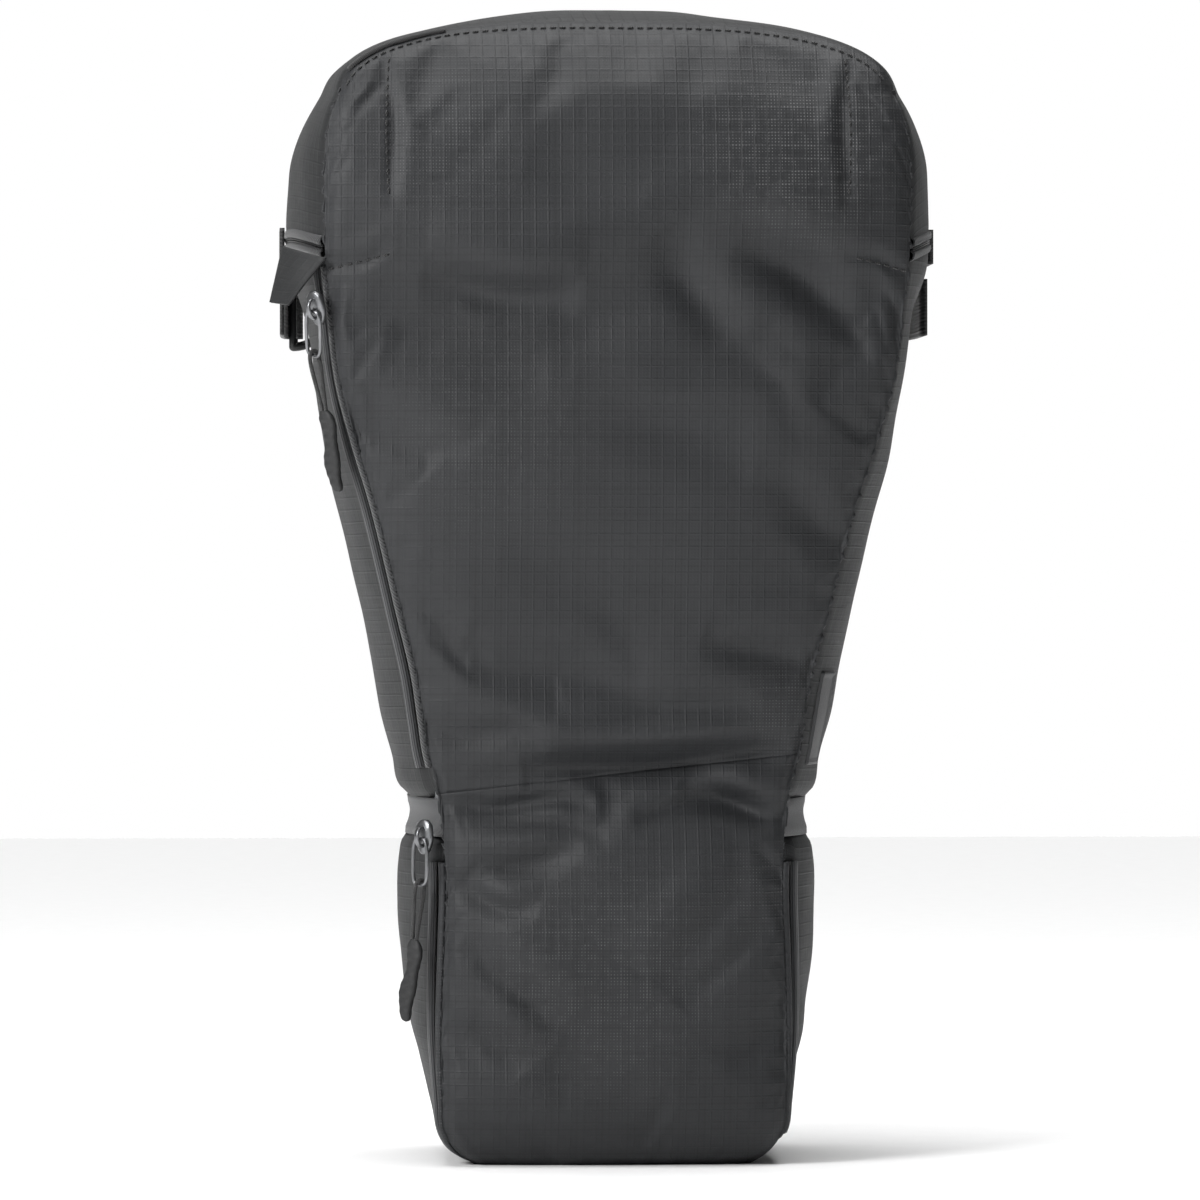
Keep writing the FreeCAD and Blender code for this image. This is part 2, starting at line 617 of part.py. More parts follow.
def make_slider(prefix, tape_point, up, out, bail_lean, pull_lean):
    """A zip slider with a wire bail through its bridge, a cord looped on the bail and a rubber grip."""
    half_w, half_l = D["slider_width"] * 0.5, D["slider_length"] * 0.5
    shoulder = [(half_w * 0.55, -half_l), (half_w, -half_l * 0.2), (half_w, half_l * 0.7),
                (half_w * 0.6, half_l)]
    plate = flat_solid(f"{prefix}_plate", shoulder + [(-x, y) for x, y in reversed(shoulder)],
                       SLIDER_PLATE, PLATE_LIFT)
    top = PLATE_LIFT + SLIDER_PLATE
    half_b, bar = D["bridge_width"] * 0.5, D["bridge_bar"]
    half_reach = D["bridge_length"] * 0.5
    hole_top = top + BRIDGE_HOLE
    bridge = box(f"{prefix}_bridge_block", (-half_b, -half_reach, top - 0.5),
                 (half_b, half_reach, bar + hole_top))
    gap = box(f"{prefix}_bridge_gap", (-half_b - 1, bar - half_reach, top),
              (half_b + 1, half_reach - bar, as_size(hole_top)))
    slider_frame = frame_at(tape_point, up, out)
    placed(cut(f"{prefix}_slider_solid", fuse(f"{prefix}_slider_body", plate, bridge), gap),
           slider_frame, f"{prefix}_slider")

    wire, width, length = D["bail_wire"], D["bail_width"] * 0.5, D["bail_length"]
    ring = flat_solid(f"{prefix}_bail_block",
                      [(width, -length + wire * 2.5), (width, wire * 0.5), (-width, wire * 0.5),
                       (-width, -length + wire * 2.5), (-width * 0.5, -length + wire * 0.5),
                       (width * 0.5, -length + wire * 0.5)], wire, -wire * 0.5)
    inner = width - wire
    window = flat_solid(f"{prefix}_bail_window",
                        [(inner, -length + wire * 3), (inner, -wire * 0.5), (-inner, -wire * 0.5),
                         (-inner, -length + wire * 3), (-inner * 0.45, -length + wire * 1.5),
                         (inner * 0.45, -length + wire * 1.5)], wire * 3, -wire * 1.5)
    lean = FreeCAD.Rotation(V(0, 0, 1), bail_lean)
    bail_frame = slider_frame * FreeCAD.Placement(V(0, BAR_OFFSET, top + AXIS_GAP), lean)
    placed(cut(f"{prefix}_bail_solid", ring, window), bail_frame, f"{prefix}_bail")

    lean = FreeCAD.Rotation(V(0, 0, 1), pull_lean)
    bar_drop = D["bail_length"].value - D["bail_wire"].value
    pull_frame = bail_frame * FreeCAD.Placement(V(0, -bar_drop, 0), lean)
    cord = doc.addObject("Part::Feature", f"{prefix}_cord_solid")
    drop = D["cord_drop"].value
    cord.Shape = tube(cord_route(drop), D["cord_wire"].value / 2)
    placed(cord, pull_frame, f"{prefix}_cord")
    half_g, foot = D["grip_width"] * 0.5, -D["cord_drop"] - D["grip_length"]
    grip_top = -D["cord_drop"]
    side = [(half_g * 0.75, foot), (half_g, foot + 4), (half_g * 0.8, foot + 16), (half_g, grip_top - 8),
            (half_g * 0.7, grip_top)]
    grip = flat_solid(f"{prefix}_grip_solid", side + [(-x, y) for x, y in reversed(side)],
                      D["grip_thick"], D["grip_thick"] * -0.5)
    placed(grip, pull_frame, f"{prefix}_grip")
    for what, frame in (("bail", bail_frame), ("pull", pull_frame)):
        axis = frame.Rotation.multVec(V(-1, 0, 0))
        print(f"{prefix} {what} hinge at {[round(v / 1000, 5) for v in frame.Base]} "
              f"axis {[round(v, 5) for v in axis]}")
    print(f"{prefix} slider up {[round(v, 5) for v in slider_frame.Rotation.multVec(V(0, 1, 0))]}")


def facet_point(side, level_name, across):
    """A point on the slanted zip facet at a level, across from its front edge as a share of its width."""
    height, front, sides, ahead, _ = (each.value for each in level(level_name))
    x = front + (sides - front) * D["facet_share"].value * across
    return V(side * x, ahead + D["facet_depth"].value * across, height)


def on_facet(low, high, across, height):
    """The facet's left line between two levels at one height: the point, its direction up and its normal."""
    foot, head = facet_point(-1, low, across), facet_point(-1, high, across)
    share = (height - foot.z) / (head.z - foot.z)
    inner = facet_point(-1, low, 0) * (1 - share) + facet_point(-1, high, 0) * share
    outer = facet_point(-1, low, 1) * (1 - share) + facet_point(-1, high, 1) * share
    up = head - foot
    out = (outer - inner).cross(up)
    if out.x > 0:
        out = -out
    return foot + up * share, up, out


SLIDER_HEIGHTS = {"side": 369, "lower": 142}
# How far each bail leans on its slider, and its pull on the bail, in degrees.
LEANS = {"side": (-14, 12), "lower": (0, -8), "lid": (40, 15)}
LID_SLIDER_X = -60
LIFTS = {"side": 0.2, "lower": 1.2}  # keep the sliders clear of tape and teeth as they run down


def make_sliders():
    point, up, out = on_facet("waist", "rim", 0.5, SLIDER_HEIGHTS["side"])
    lifted = point + V(out).normalize() * LIFTS["side"]
    make_slider("side", lifted, up, out, *LEANS["side"])
    point, up, out = on_facet("thigh", "hip", 0.5, SLIDER_HEIGHTS["lower"])
    lifted = point + V(out).normalize() * LIFTS["lower"]
    make_slider("lower", lifted, V(0, 0, 1), V(out.x, out.y, 0), *LEANS["lower"])
    back = V(LID_SLIDER_X, D["rim_back_edge"].value, D["rim_height"].value)
    make_slider("lid", back, V(-1, 0, 0), V(0, 1, 0), *LEANS["lid"])


def check_and_write():
    """Stops on any failed object or shape, then writes one file for each sub-part."""
    doc.recompute()
    failed = [each.Name for each in doc.Objects if {"Invalid", "Error"} & set(each.State)]
    if failed:
        raise RuntimeError(f"failed: {failed}")
    os.makedirs("parts", exist_ok=True)
    for thing in SUB_PARTS:
        if thing.Shape.isNull() or not thing.Shape.isValid() or not thing.Shape.Solids:
            raise RuntimeError(f"{thing.Label} has no valid solid")
        thing.Shape.exportStep(f"parts/{thing.Label}.step")
        bounds = thing.Shape.BoundBox
        print(f"{thing.Label:24} solids {len(thing.Shape.Solids)} volume {thing.Shape.Volume:10.1f} "
              f"x {bounds.XMin:7.1f} {bounds.XMax:7.1f} y {bounds.YMin:7.1f} {bounds.YMax:7.1f} "
              f"z {bounds.ZMin:6.1f} {bounds.ZMax:6.1f}")


make_lower()
make_main()
make_lid()
make_lid_tabs()
make_strap_side(-1, "left")
make_strap_side(1, "right")
make_sliders()
check_and_write()
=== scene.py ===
import json

import bmesh
import bpy
import numpy as np
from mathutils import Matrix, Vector


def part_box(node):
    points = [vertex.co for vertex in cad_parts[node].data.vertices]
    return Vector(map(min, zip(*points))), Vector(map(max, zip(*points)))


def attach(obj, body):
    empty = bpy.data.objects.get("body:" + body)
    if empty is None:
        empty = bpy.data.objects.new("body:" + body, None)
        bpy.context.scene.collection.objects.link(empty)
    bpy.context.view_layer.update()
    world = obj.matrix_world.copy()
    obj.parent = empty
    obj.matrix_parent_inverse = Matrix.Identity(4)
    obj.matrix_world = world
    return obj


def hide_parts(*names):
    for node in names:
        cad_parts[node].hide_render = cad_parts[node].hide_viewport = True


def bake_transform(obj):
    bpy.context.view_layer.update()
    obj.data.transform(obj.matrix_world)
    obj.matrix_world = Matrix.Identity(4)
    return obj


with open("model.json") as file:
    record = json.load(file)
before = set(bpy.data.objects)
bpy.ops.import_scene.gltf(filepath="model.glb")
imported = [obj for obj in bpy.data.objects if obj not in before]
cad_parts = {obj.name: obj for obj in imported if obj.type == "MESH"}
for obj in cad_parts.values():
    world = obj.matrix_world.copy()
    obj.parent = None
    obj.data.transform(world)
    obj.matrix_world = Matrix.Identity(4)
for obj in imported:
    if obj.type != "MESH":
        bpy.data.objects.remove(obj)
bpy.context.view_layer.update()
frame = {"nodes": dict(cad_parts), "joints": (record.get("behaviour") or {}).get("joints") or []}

bl_info = {
    "name": "Padded lens bag",
    "version": (1, 0, 0),
    "blender": (4, 5, 0),
    "location": "3D View > Sidebar > Lens bag",
    "description": "Sewn fabric, zips, pulls and webbing of a tall padded bag for a camera with a long lens",
    "category": "Mesh",
}

MM = 0.001
SPLIT_RISE = 0.11  # slope of the hidden fold where the two front sheets meet
SPLIT_HEIGHT = 169.0
ARC_FOOT = 462.0  # the front panel's top arc starts here
ARC_HALF = 118.0
ARC_RISE = 30.5
BACK_DROP = 14.0  # the back panel's arc lies this much lower
TOP_SHARE = 0.3  # share of the lid band's half outline that runs over the top
NECK_FOOT = 142.0
NECK_HEAD = 158.0
MIDDLE_Y = -8.0

# Heights and half widths or depths, in mm. The front panel, then the outline at its widest.
FRONT_HALF = ((0, 60), (4, 65.5), (9, 70), (15, 73), (28, 74), (60, 74.4), (93, 73.3), (123, 72.5), (142, 73.5),
              (150, 74.2), (163, 76), (178, 80), (192, 82), (209, 84.5), (240, 92), (261, 97), (286, 103.5),
              (313, 112), (337, 118.5), (365, 122), (386, 124.5), (410, 125.2), (430, 125.2), (446, 123.5),
              (455, 121), (462, 118))
SIDE_HALF = ((0, 58), (4, 66), (8, 70.5), (13, 73.8), (24, 77), (35, 79.5), (46, 82.5), (56, 85.5), (67, 87.5),
             (89, 90.5), (110, 91.5), (132, 91), (143, 89), (148, 87), (153, 86.5), (158, 88.5), (164, 92),
             (175, 93.8), (197, 99.5), (218, 103.5), (240, 107.5), (261, 112.5), (283, 117.7), (304, 123),
             (326, 126), (347, 129), (369, 133), (390, 139.5), (401, 140.5), (423, 140), (434, 138.8),
             (444, 135.8), (455, 131), (462, 127))
FRONT_Y = ((0, -48), (4, -54), (14, -60), (60, -63), (122, -63.5), (142, -62), (152, -59.5), (166, -60.5),
           (209, -66), (261, -73.5), (313, -81.5), (365, -89), (390, -92), (425, -93), (440, -92.5),
           (466, -87), (484, -76), (493, -66))
BACK_Y = ((0, 50), (4, 55), (14, 61), (60, 65), (122, 67), (142, 66), (150, 63), (166, 68), (240, 70.5),
          (313, 73), (390, 76), (440, 73), (466, 64), (484, 50))
# Over the top, by the share of the way out from the middle: the widest outline's x and z.
TOP_X = ((0, 0), (0.1635, 33), (0.339, 66), (0.52, 93), (0.664, 109), (0.814, 121), (1, 127))
TOP_Z = ((0, 500.5), (0.1635, 499.4), (0.339, 494.8), (0.52, 488.2), (0.664, 481), (0.814, 472), (1, 462))
# Creases of the front: both ends (x, z), half width and depth.
CREASES = (
    (-84, 380, -16, 371, 8, 5.5), (-110, 157, 110, 181, 9, 5.0), (-82, 188, -28, 184, 6, 3.4),
    (-40, 170, 80, 181, 6, 6.0), (-76, 156, -8, 156, 4, 4.2), (-99, 480, -95, 408, 3, 2.4),
    (95, 408, 99, 480, 3, 2.4), (-128, 384, -96, 392, 3, 2.2), (96, 392, 128, 384, 3, 2.2),
    (28, 164, 84, 146, 6, 7.0),
    (-72, 121, -14, 138, 6, 4.6), (-72, 119, -34, 109, 5, 4.2), (-70, 106, -24, 55, 8, 4.4),
    (62, 132, 20, 76, 8, 4.8), (74, 117, 28, 68, 7, 3.6), (-62, 149, -4, 145, 4, 3.0),
    (8, 151, 62, 158, 5, 3.4), (-24, 190, 74, 198, 7, 3.6), (-62, 216, 24, 203, 9, 2.6),
    (38, 230, 86, 214, 8, 3.0), (84, 326, 120, 374, 9, 3.4), (-114, 332, -80, 298, 10, 2.8),
    (18, 402, 46, 352, 10, 4.2), (52, 398, 108, 364, 11, 4.8), (-62, 62, 22, 20, 12, 2.6),
    (-100, 352, -30, 340, 14, 2.4), (-20, 330, 60, 306, 16, 2.4), (-50, 262, 40, 246, 14, 2.0),
    (66, 300, 100, 262, 10, 2.6), (-40, 430, 10, 412, 14, 1.6), (-72, 84, -40, 40, 7, 2.6),
)
LID_EDGE = ((-126, 392), (-80, 386), (-24, 379), (10, 392), (40, 404), (80, 400), (126, 388))


def smooth(table, place):
    """A table's value anywhere: cubic pieces through its rows, with slopes from the rows on either side."""
    places, values = np.array(sorted(table), float).T
    slopes = np.gradient(values, places)
    i = np.clip(np.searchsorted(places, place) - 1, 0, len(places) - 2)
    step = places[i + 1] - places[i]
    t = np.clip((place - places[i]) / step, 0, 1)
    near = values[i] * (1 + 2 * t) * (1 - t) ** 2 + slopes[i] * step * t * (1 - t) ** 2
    return near + values[i + 1] * t ** 2 * (3 - 2 * t) + slopes[i + 1] * step * t ** 2 * (t - 1)


def ripple(a, b, seed, scale):
    """Gentle unevenness of sewn cloth: the mean of eight sine waves in fixed directions, within -1 and 1."""
    draw = np.random.default_rng(seed)
    total = np.zeros(np.broadcast(a, b).shape)
    waves = zip(draw.uniform(0, np.pi, 8), draw.uniform(0, 6.28, 8), draw.uniform(0.6, 2, 8))
    for turn, phase, stretch in waves:
        total += np.sin((a * np.cos(turn) + b * np.sin(turn)) * stretch / scale * 2 * np.pi + phase)
    return total / 8


def bump(distance, reach):
    return np.exp(-(distance / reach) ** 2)


def front_half(z):
    return smooth(FRONT_HALF, np.minimum(z, ARC_FOOT))


def arc_top(share):
    """Height of the front panel's top edge: a flattened arch over the half width."""
    return ARC_FOOT + ARC_RISE * np.sqrt(np.maximum(1 - np.abs(share) ** 3, 0))


def creases(x, z):
    """Depth of the sewn-in creases: each is a valley along a line with a ridge above it, and dies out
    at its ends."""
    depth = np.zeros(np.broadcast(x, z).shape)
    for x0, z0, x1, z1, reach, deep in CREASES:
        length = np.hypot(x1 - x0, z1 - z0)
        along = ((x - x0) * (x1 - x0) + (z - z0) * (z1 - z0)) / length ** 2
        off = (-(x - x0) * (z1 - z0) + (z - z0) * (x1 - x0)) / length * np.sign(x1 - x0)
        wander = 1.6 * np.sin(along * 7 + x0)
        fade = np.sin(np.pi * np.clip(along, 0, 1)) ** 0.7
        valley = bump(off + wander, reach) - 0.5 * bump(off + wander - 2.2 * reach, 1.4 * reach)
        depth += deep * fade * valley
    return depth


SETTLED = []  # how far the simulated cloth moved back or forward, on its own grid, in mm


def settled(x, z):
    """The simulated cloth's movement at any place on the front, read between its grid's four corners."""
    if not SETTLED:
        return 0.0
    moved = SETTLED[0]
    rows, columns = moved.shape
    share = np.clip(x / front_half(z), -1, 1)
    column = (np.arcsin(share) / np.pi + 0.5) * (columns - 1)
    row = np.clip(z / arc_top(share), 0, 1) * (rows - 1)
    i = np.clip(np.floor(row).astype(int), 0, rows - 2)
    j = np.clip(np.floor(column).astype(int), 0, columns - 2)
    a, b = row - i, column - j
    return ((1 - a) * (1 - b) * moved[i, j] + (1 - a) * b * moved[i, j + 1]
            + a * (1 - b) * moved[i + 1, j] + a * b * moved[i + 1, j + 1])


def front_y(x, z):
    """The front fabric's depth: a crowned panel that rolls back at its edges, sags below the lid and
    creases."""
    share = np.abs(x) / front_half(z)
    crown = -4.0 * np.clip(1 - share ** 2, 0, 1)
    side = bump(front_half(z) - np.abs(x), 3.5) * 3.0
    rim = bump(arc_top(np.minimum(np.abs(x) / ARC_HALF, 1)) - z, 4.5) * 2.5
    below = z - smooth(LID_EDGE, x)
    inside = np.clip(1.15 - share ** 4, 0, 1)
    sag = inside * (4.5 * bump(below + 16, 17) - 2.5 * bump(below - 16, 20))
    belly = -3.0 * inside * bump(z - 285, 60) - 3.5 * inside * bump(z - 100, 45)
    waves = 1.1 * inside * ripple(x, z, 3, 90)
    drawn = smooth(FRONT_Y, z) + crown + side + rim + sag + belly + waves + inside * creases(x, z)
    return drawn + settled(x, z)


def section_point(front, front_depth, widest, rear, rear_depth, v):
    """A side wall's section: a cubic Bezier from the front edge to the rear edge whose middle reaches the
    widest outline. Every argument is an array of (x, z) or of depths."""
    reach = (8 * widest - front - rear) / 6
    span = rear_depth - front_depth
    a, b, c, d = (1 - v) ** 3, 3 * v * (1 - v) ** 2, 3 * v ** 2 * (1 - v), v ** 3
    flat = front * a[..., None] + reach * (b + c)[..., None] + rear * d[..., None]
    depth = (a * front_depth + b * (front_depth + 0.25 * span) + c * (rear_depth - 0.15 * span)
             + d * rear_depth)
    return np.stack([flat[..., 0], depth, flat[..., 1]], -1)


def rear_height(z):
    """The rear edge drops below the front edge towards the top, by up to the back's drop."""
    t = np.clip((z - 391) / (ARC_FOOT - 391), 0, 1)
    return z - BACK_DROP * t * t * (3 - 2 * t)


def side_point(side, z, v):
    """A point on the left (-1) or right (1) wall at a height, v of the way from front to back."""
    rear_z = rear_height(z)
    front = np.stack([side * front_half(z), z], -1)
    widest = np.stack([side * smooth(SIDE_HALF, z), z], -1)
    rear = np.stack([side * (smooth(SIDE_HALF, rear_z) - 14), rear_z], -1)
    return section_point(front, front_y(front[..., 0], z), widest, rear, smooth(BACK_Y, rear_z), v)


def over_point(q, v):
    """A point on the lid's band: q runs from -1, the left neck, over 0, the top's middle, to 1. The top is
    the share of q within TOP_SHARE, where the outlines are arches."""
    side = np.where(q < 0, -1.0, 1.0)
    far = np.clip((np.abs(q) - TOP_SHARE) / (1 - TOP_SHARE), 0, 1)
    z = ARC_FOOT - far * (ARC_FOOT - 150)
    walls = side_point(side, z, v)
    out = np.clip(np.abs(q) / TOP_SHARE, 0, 1)
    share = np.sin(out * np.pi / 2)
    front = np.stack([side * ARC_HALF * share, arc_top(share)], -1)
    widest = np.stack([side * smooth(TOP_X, out), smooth(TOP_Z, out)], -1)
    rear_half = smooth(SIDE_HALF, rear_height(ARC_FOOT)) - 14
    rear = np.stack([side * rear_half * share, arc_top(share) - BACK_DROP], -1)
    over = section_point(front, front_y(front[..., 0], front[..., 1]), widest, rear,
                         smooth(BACK_Y, rear[..., 1]), v)
    return np.where((np.abs(q) < TOP_SHARE)[..., None], over, walls)


def lid_seam(v):
    """Height of the seam between lid and body along a side wall: it arches up from front and back."""
    return 391 + 2.5 * (1 - v) + 8.5 * np.sin(np.pi * v)


def seam_share(v):
    return TOP_SHARE + (1 - TOP_SHARE) * (ARC_FOOT - lid_seam(v)) / (ARC_FOOT - 150)


def normals(points):
    """Unit normals of a grid, pointing away from its middle line."""
    across = np.cross(np.gradient(points, axis=0), np.gradient(points, axis=1))
    across /= np.linalg.norm(across, axis=-1, keepdims=True) + 1e-12
    middle = np.array([0, MIDDLE_Y, points[..., 2].mean()])
    return across * (1 if (across * (points - middle)).sum() > 0 else -1)


def run(points, axis):
    """Distance along a grid's lines from their start, in mm."""
    steps = np.linalg.norm(np.diff(points, axis=axis), axis=-1)
    pad = [(0, 0), (0, 0)]
    pad[axis] = (1, 0)
    return np.cumsum(np.pad(steps, pad), axis=axis)


def tucked(points, edges, depth=1.6, reach=3.0):
    """Sinks a panel's sewn edges (low or high rows 'l' 'h', first or last columns 'f' 'e') into the seam."""
    rows, columns = run(points, 0), run(points, 1)
    sink = np.zeros(rows.shape)
    near = {"l": rows, "h": rows[-1:] - rows, "f": columns, "e": columns[:, -1:] - columns}
    for edge in edges:
        sink = np.maximum(sink, bump(near[edge], reach))
    return points - normals(points) * (sink * depth)[..., None]


def linear(code):
    """An sRGB hex colour as linear red, green, blue and alpha."""
    parts = np.array([int(code[i:i + 2], 16) for i in (1, 3, 5)]) / 255
    values = np.where(parts <= 0.04045, parts / 12.92, ((parts + 0.055) / 1.055) ** 2.4)
    return (*values.tolist(), 1.0)


def add(tree, kind, links=None, **settings):
    """Adds a node with its settings, its sockets linked or given values."""
    made = tree.nodes.new(kind)
    for name, value in settings.items():
        setattr(made, name, value)
    for socket, source in (links or {}).items():
        if isinstance(source, bpy.types.NodeSocket):
            tree.links.new(source, made.inputs[socket])
        else:
            made.inputs[socket].default_value = source
    return made


MATERIALS = {}
# The cloth's grid, how long it settles, the air pressing it out and the furthest it may move, in mm.
CLOTH_COLUMNS = 96
CLOTH_ROWS = 200
CLOTH_FRAMES = 20
CLOTH_PRESSURE = 1.0
MOST_MOVED = 5.0
# How far the back panel stops short of the side walls and how far it swells, in mm.
BACK_INSET = 14
BACK_CROWN = 3.0
# Where glints are painted into the front cloth's colour as painted highlights: x, z and reach in metres on the
# front cloth, and how much.
PAINTED_GLINT_PLACES = ((0.078, 0.44, 0.055, 1.0), (-0.078, 0.44, 0.045, 0.5), (-0.005, 0.082, 0.07, 0.55),
           (0.062, 0.118, 0.03, 0.45), (-0.05, 0.32, 0.07, 0.3), (0.075, 0.198, 0.03, 0.5))
WAVE = 2 * np.pi / 20  # a wave texture's period at scale 1


def shader(name, metallic=0.0, ior=1.5):
    """An empty material with one shader on its output: returns the tree and the shader."""
    made = bpy.data.materials.new(name)
    made.use_nodes = True
    MATERIALS[name] = made
    tree = made.node_tree
    tree.nodes.clear()
    principled = add(tree, "ShaderNodeBsdfPrincipled", {"Metallic": metallic, "IOR": ior})
    tree.links.new(principled.outputs[0], add(tree, "ShaderNodeOutputMaterial").inputs[0])
    return tree, principled


def join(tree, principled, colour, roughness, height, distance):
    """Links a pattern's colour, roughness and height, as a bump of that depth in metres, to the shader."""
    raised = add(tree, "ShaderNodeBump", {"Height": height, "Distance": distance, "Strength": 1.0})
    for socket, source in (("Base Color", colour), ("Roughness", roughness), ("Normal", raised.outputs[0])):
        tree.links.new(source, principled.inputs[socket])


def coated_ripstop_nylon(name, colour, dark, sheen, painted_glint_strength=0.0):
    """Ripstop nylon, woven with a thicker thread every 5.5 mm and coated: matt with a faint grid of raised
    threads. At their crossings a light grey is mixed into the colour where listed: painted highlights that stand
    for glints.
    The plain weave is 0.35 mm and is drawn at 1.4 mm."""
    tree, principled = shader(name)
    principled.inputs["Sheen Weight"].default_value = sheen
    principled.inputs["Specular IOR Level"].default_value = 0.4
    principled.inputs["Sheen Roughness"].default_value = 0.45
    cloth = add(tree, "ShaderNodeTexCoord").outputs["UV"]
    threads = []
    for direction in "XY":
        for pitch, sharp in ((0.0055, 26.0), (0.011, 60.0), (0.0014, 1.0)):
            wave = add(tree, "ShaderNodeTexWave", {"Vector": cloth, "Scale": WAVE / pitch, "Distortion": 0.0},
                       bands_direction=direction)
            threads.append(add(tree, "ShaderNodeMath", {0: wave.outputs["Fac"], 1: sharp},
                               operation="POWER").outputs[0])
    fine = add(tree, "ShaderNodeMath", {0: threads[0], 1: threads[3]}, operation="MAXIMUM").outputs[0]
    bold = add(tree, "ShaderNodeMath", {0: threads[1], 1: threads[4]}, operation="MAXIMUM").outputs[0]
    weave = add(tree, "ShaderNodeMath", {0: threads[2], 1: threads[5]}, operation="MULTIPLY").outputs[0]
    crossing = add(tree, "ShaderNodeMath", {0: threads[2], 1: fine}, operation="MULTIPLY").outputs[0]
    patchy = add(tree, "ShaderNodeTexNoise", {"Vector": cloth, "Scale": 9.0, "Detail": 3.0})
    streaks = add(tree, "ShaderNodeTexNoise", {"Vector": cloth, "Scale": 190.0, "Detail": 2.0})
    uneven = add(tree, "ShaderNodeMapRange", {"Value": patchy.outputs[0], "From Min": 0.3, "From Max": 0.7,
                                              "To Min": 0.9, "To Max": 1.12}).outputs[0]
    grid = add(tree, "ShaderNodeMath", {0: bold, 1: 0.4}, operation="MULTIPLY").outputs[0]
    faint = add(tree, "ShaderNodeMath", {0: fine, 1: 0.12, 2: grid}, operation="MULTIPLY_ADD").outputs[0]
    mixed = add(tree, "ShaderNodeMixRGB", {0: faint, 1: linear(colour), 2: linear(dark)})
    lit = add(tree, "ShaderNodeVectorMath", {0: mixed.outputs[0], 1: uneven}, operation="MULTIPLY")
    painted_glint_area = None
    for x, z, reach, share in PAINTED_GLINT_PLACES:
        away = add(tree, "ShaderNodeVectorMath", {0: cloth, 1: (x, z, 0.0)}, operation="DISTANCE")
        near = add(tree, "ShaderNodeMapRange", {"Value": away.outputs["Value"], "From Min": reach * 0.3,
                                                "From Max": reach, "To Min": share, "To Max": 0.0}).outputs[0]
        painted_glint_area = near if painted_glint_area is None else add(tree, "ShaderNodeMath", {0: painted_glint_area, 1: near},
                                                   operation="MAXIMUM").outputs[0]
    mask = add(tree, "ShaderNodeMapRange", {"Value": streaks.outputs[0], "From Min": 0.4, "From Max": 0.6,
                                            "To Min": 0.15, "To Max": 1.0}).outputs[0]
    dotted = add(tree, "ShaderNodeMath", {0: weave, 1: 5.0}, operation="POWER").outputs[0]
    lined = add(tree, "ShaderNodeMath", {0: crossing, 1: 0.25, 2: dotted},
                operation="MULTIPLY_ADD").outputs[0]
    shown_there = add(tree, "ShaderNodeMath", {0: lined, 1: mask}, operation="MULTIPLY").outputs[0]
    patch = add(tree, "ShaderNodeMath", {0: shown_there, 1: painted_glint_area}, operation="MULTIPLY").outputs[0]
    glint = add(tree, "ShaderNodeMath", {0: patch, 1: painted_glint_strength}, operation="MULTIPLY").outputs[0]
    # The light grey mixed in here is a painted highlight: glints at the threads' crossings on the front cloth.
    shown = add(tree, "ShaderNodeMixRGB", {0: glint, 1: lit.outputs[0], 2: linear("#8e8e8f")})
    worn = add(tree, "ShaderNodeMapRange", {"Value": streaks.outputs[0], "To Min": 0.56,
                                            "To Max": 0.7}).outputs[0]
    raised = add(tree, "ShaderNodeMath", {0: weave, 1: 0.4, 2: fine}, operation="MULTIPLY_ADD").outputs[0]
    join(tree, principled, shown.outputs[0], worn, raised, 0.00012)


def ribbed_cloth(name, colour, dark, pitch, slant, rough, depth=0.00025):
    """Cloth woven in ribs, such as webbing or the twill of a zip's tape: ribs at a pitch in metres, on a
    slant, with darker gaps, painted shade between the ribs, and fuzz that keeps it matt."""
    tree, principled = shader(name)
    principled.inputs["Sheen Weight"].default_value = 0.2
    cloth = add(tree, "ShaderNodeTexCoord").outputs["UV"]
    turned = add(tree, "ShaderNodeMapping", {"Vector": cloth, "Rotation": (0.0, 0.0, slant)}).outputs[0]
    ribs = add(tree, "ShaderNodeTexWave", {"Vector": turned, "Scale": WAVE / pitch, "Distortion": 0.4,
                                           "Detail": 1.0}, bands_direction="X").outputs["Fac"]
    fuzz = add(tree, "ShaderNodeTexNoise", {"Vector": cloth, "Scale": 900.0, "Detail": 2.0}).outputs[0]
    # The gaps between the ribs, low in the bump, take the dark colour: painted shade.
    mixed = add(tree, "ShaderNodeMixRGB", {0: ribs, 1: linear(dark), 2: linear(colour)})
    worn = add(tree, "ShaderNodeMapRange", {"Value": fuzz, "To Min": rough - 0.08, "To Max": rough + 0.1})
    height = add(tree, "ShaderNodeMath", {0: fuzz, 1: 0.3, 2: ribs}, operation="MULTIPLY_ADD")
    join(tree, principled, mixed.outputs[0], worn.outputs[0], height.outputs[0], depth)


def grained(name, colour, light, grain, rough, metallic=0.0, ior=1.5, depth=0.0001):
    """A cast, moulded or die-cast surface: fine grain at a size in metres, slightly uneven in shade."""
    tree, principled = shader(name, metallic, ior)
    place = add(tree, "ShaderNodeTexCoord").outputs["Object"]
    grains = add(tree, "ShaderNodeTexNoise", {"Vector": place, "Scale": 1 / grain, "Detail": 3.0}).outputs[0]
    broad = add(tree, "ShaderNodeTexNoise", {"Vector": place, "Scale": 0.08 / grain,
                                             "Detail": 2.0}).outputs[0]
    mixed = add(tree, "ShaderNodeMixRGB", {0: broad, 1: linear(colour), 2: linear(light)})
    worn = add(tree, "ShaderNodeMapRange", {"Value": grains, "To Min": rough - 0.1, "To Max": rough + 0.1})
    join(tree, principled, mixed.outputs[0], worn.outputs[0], grains, depth)


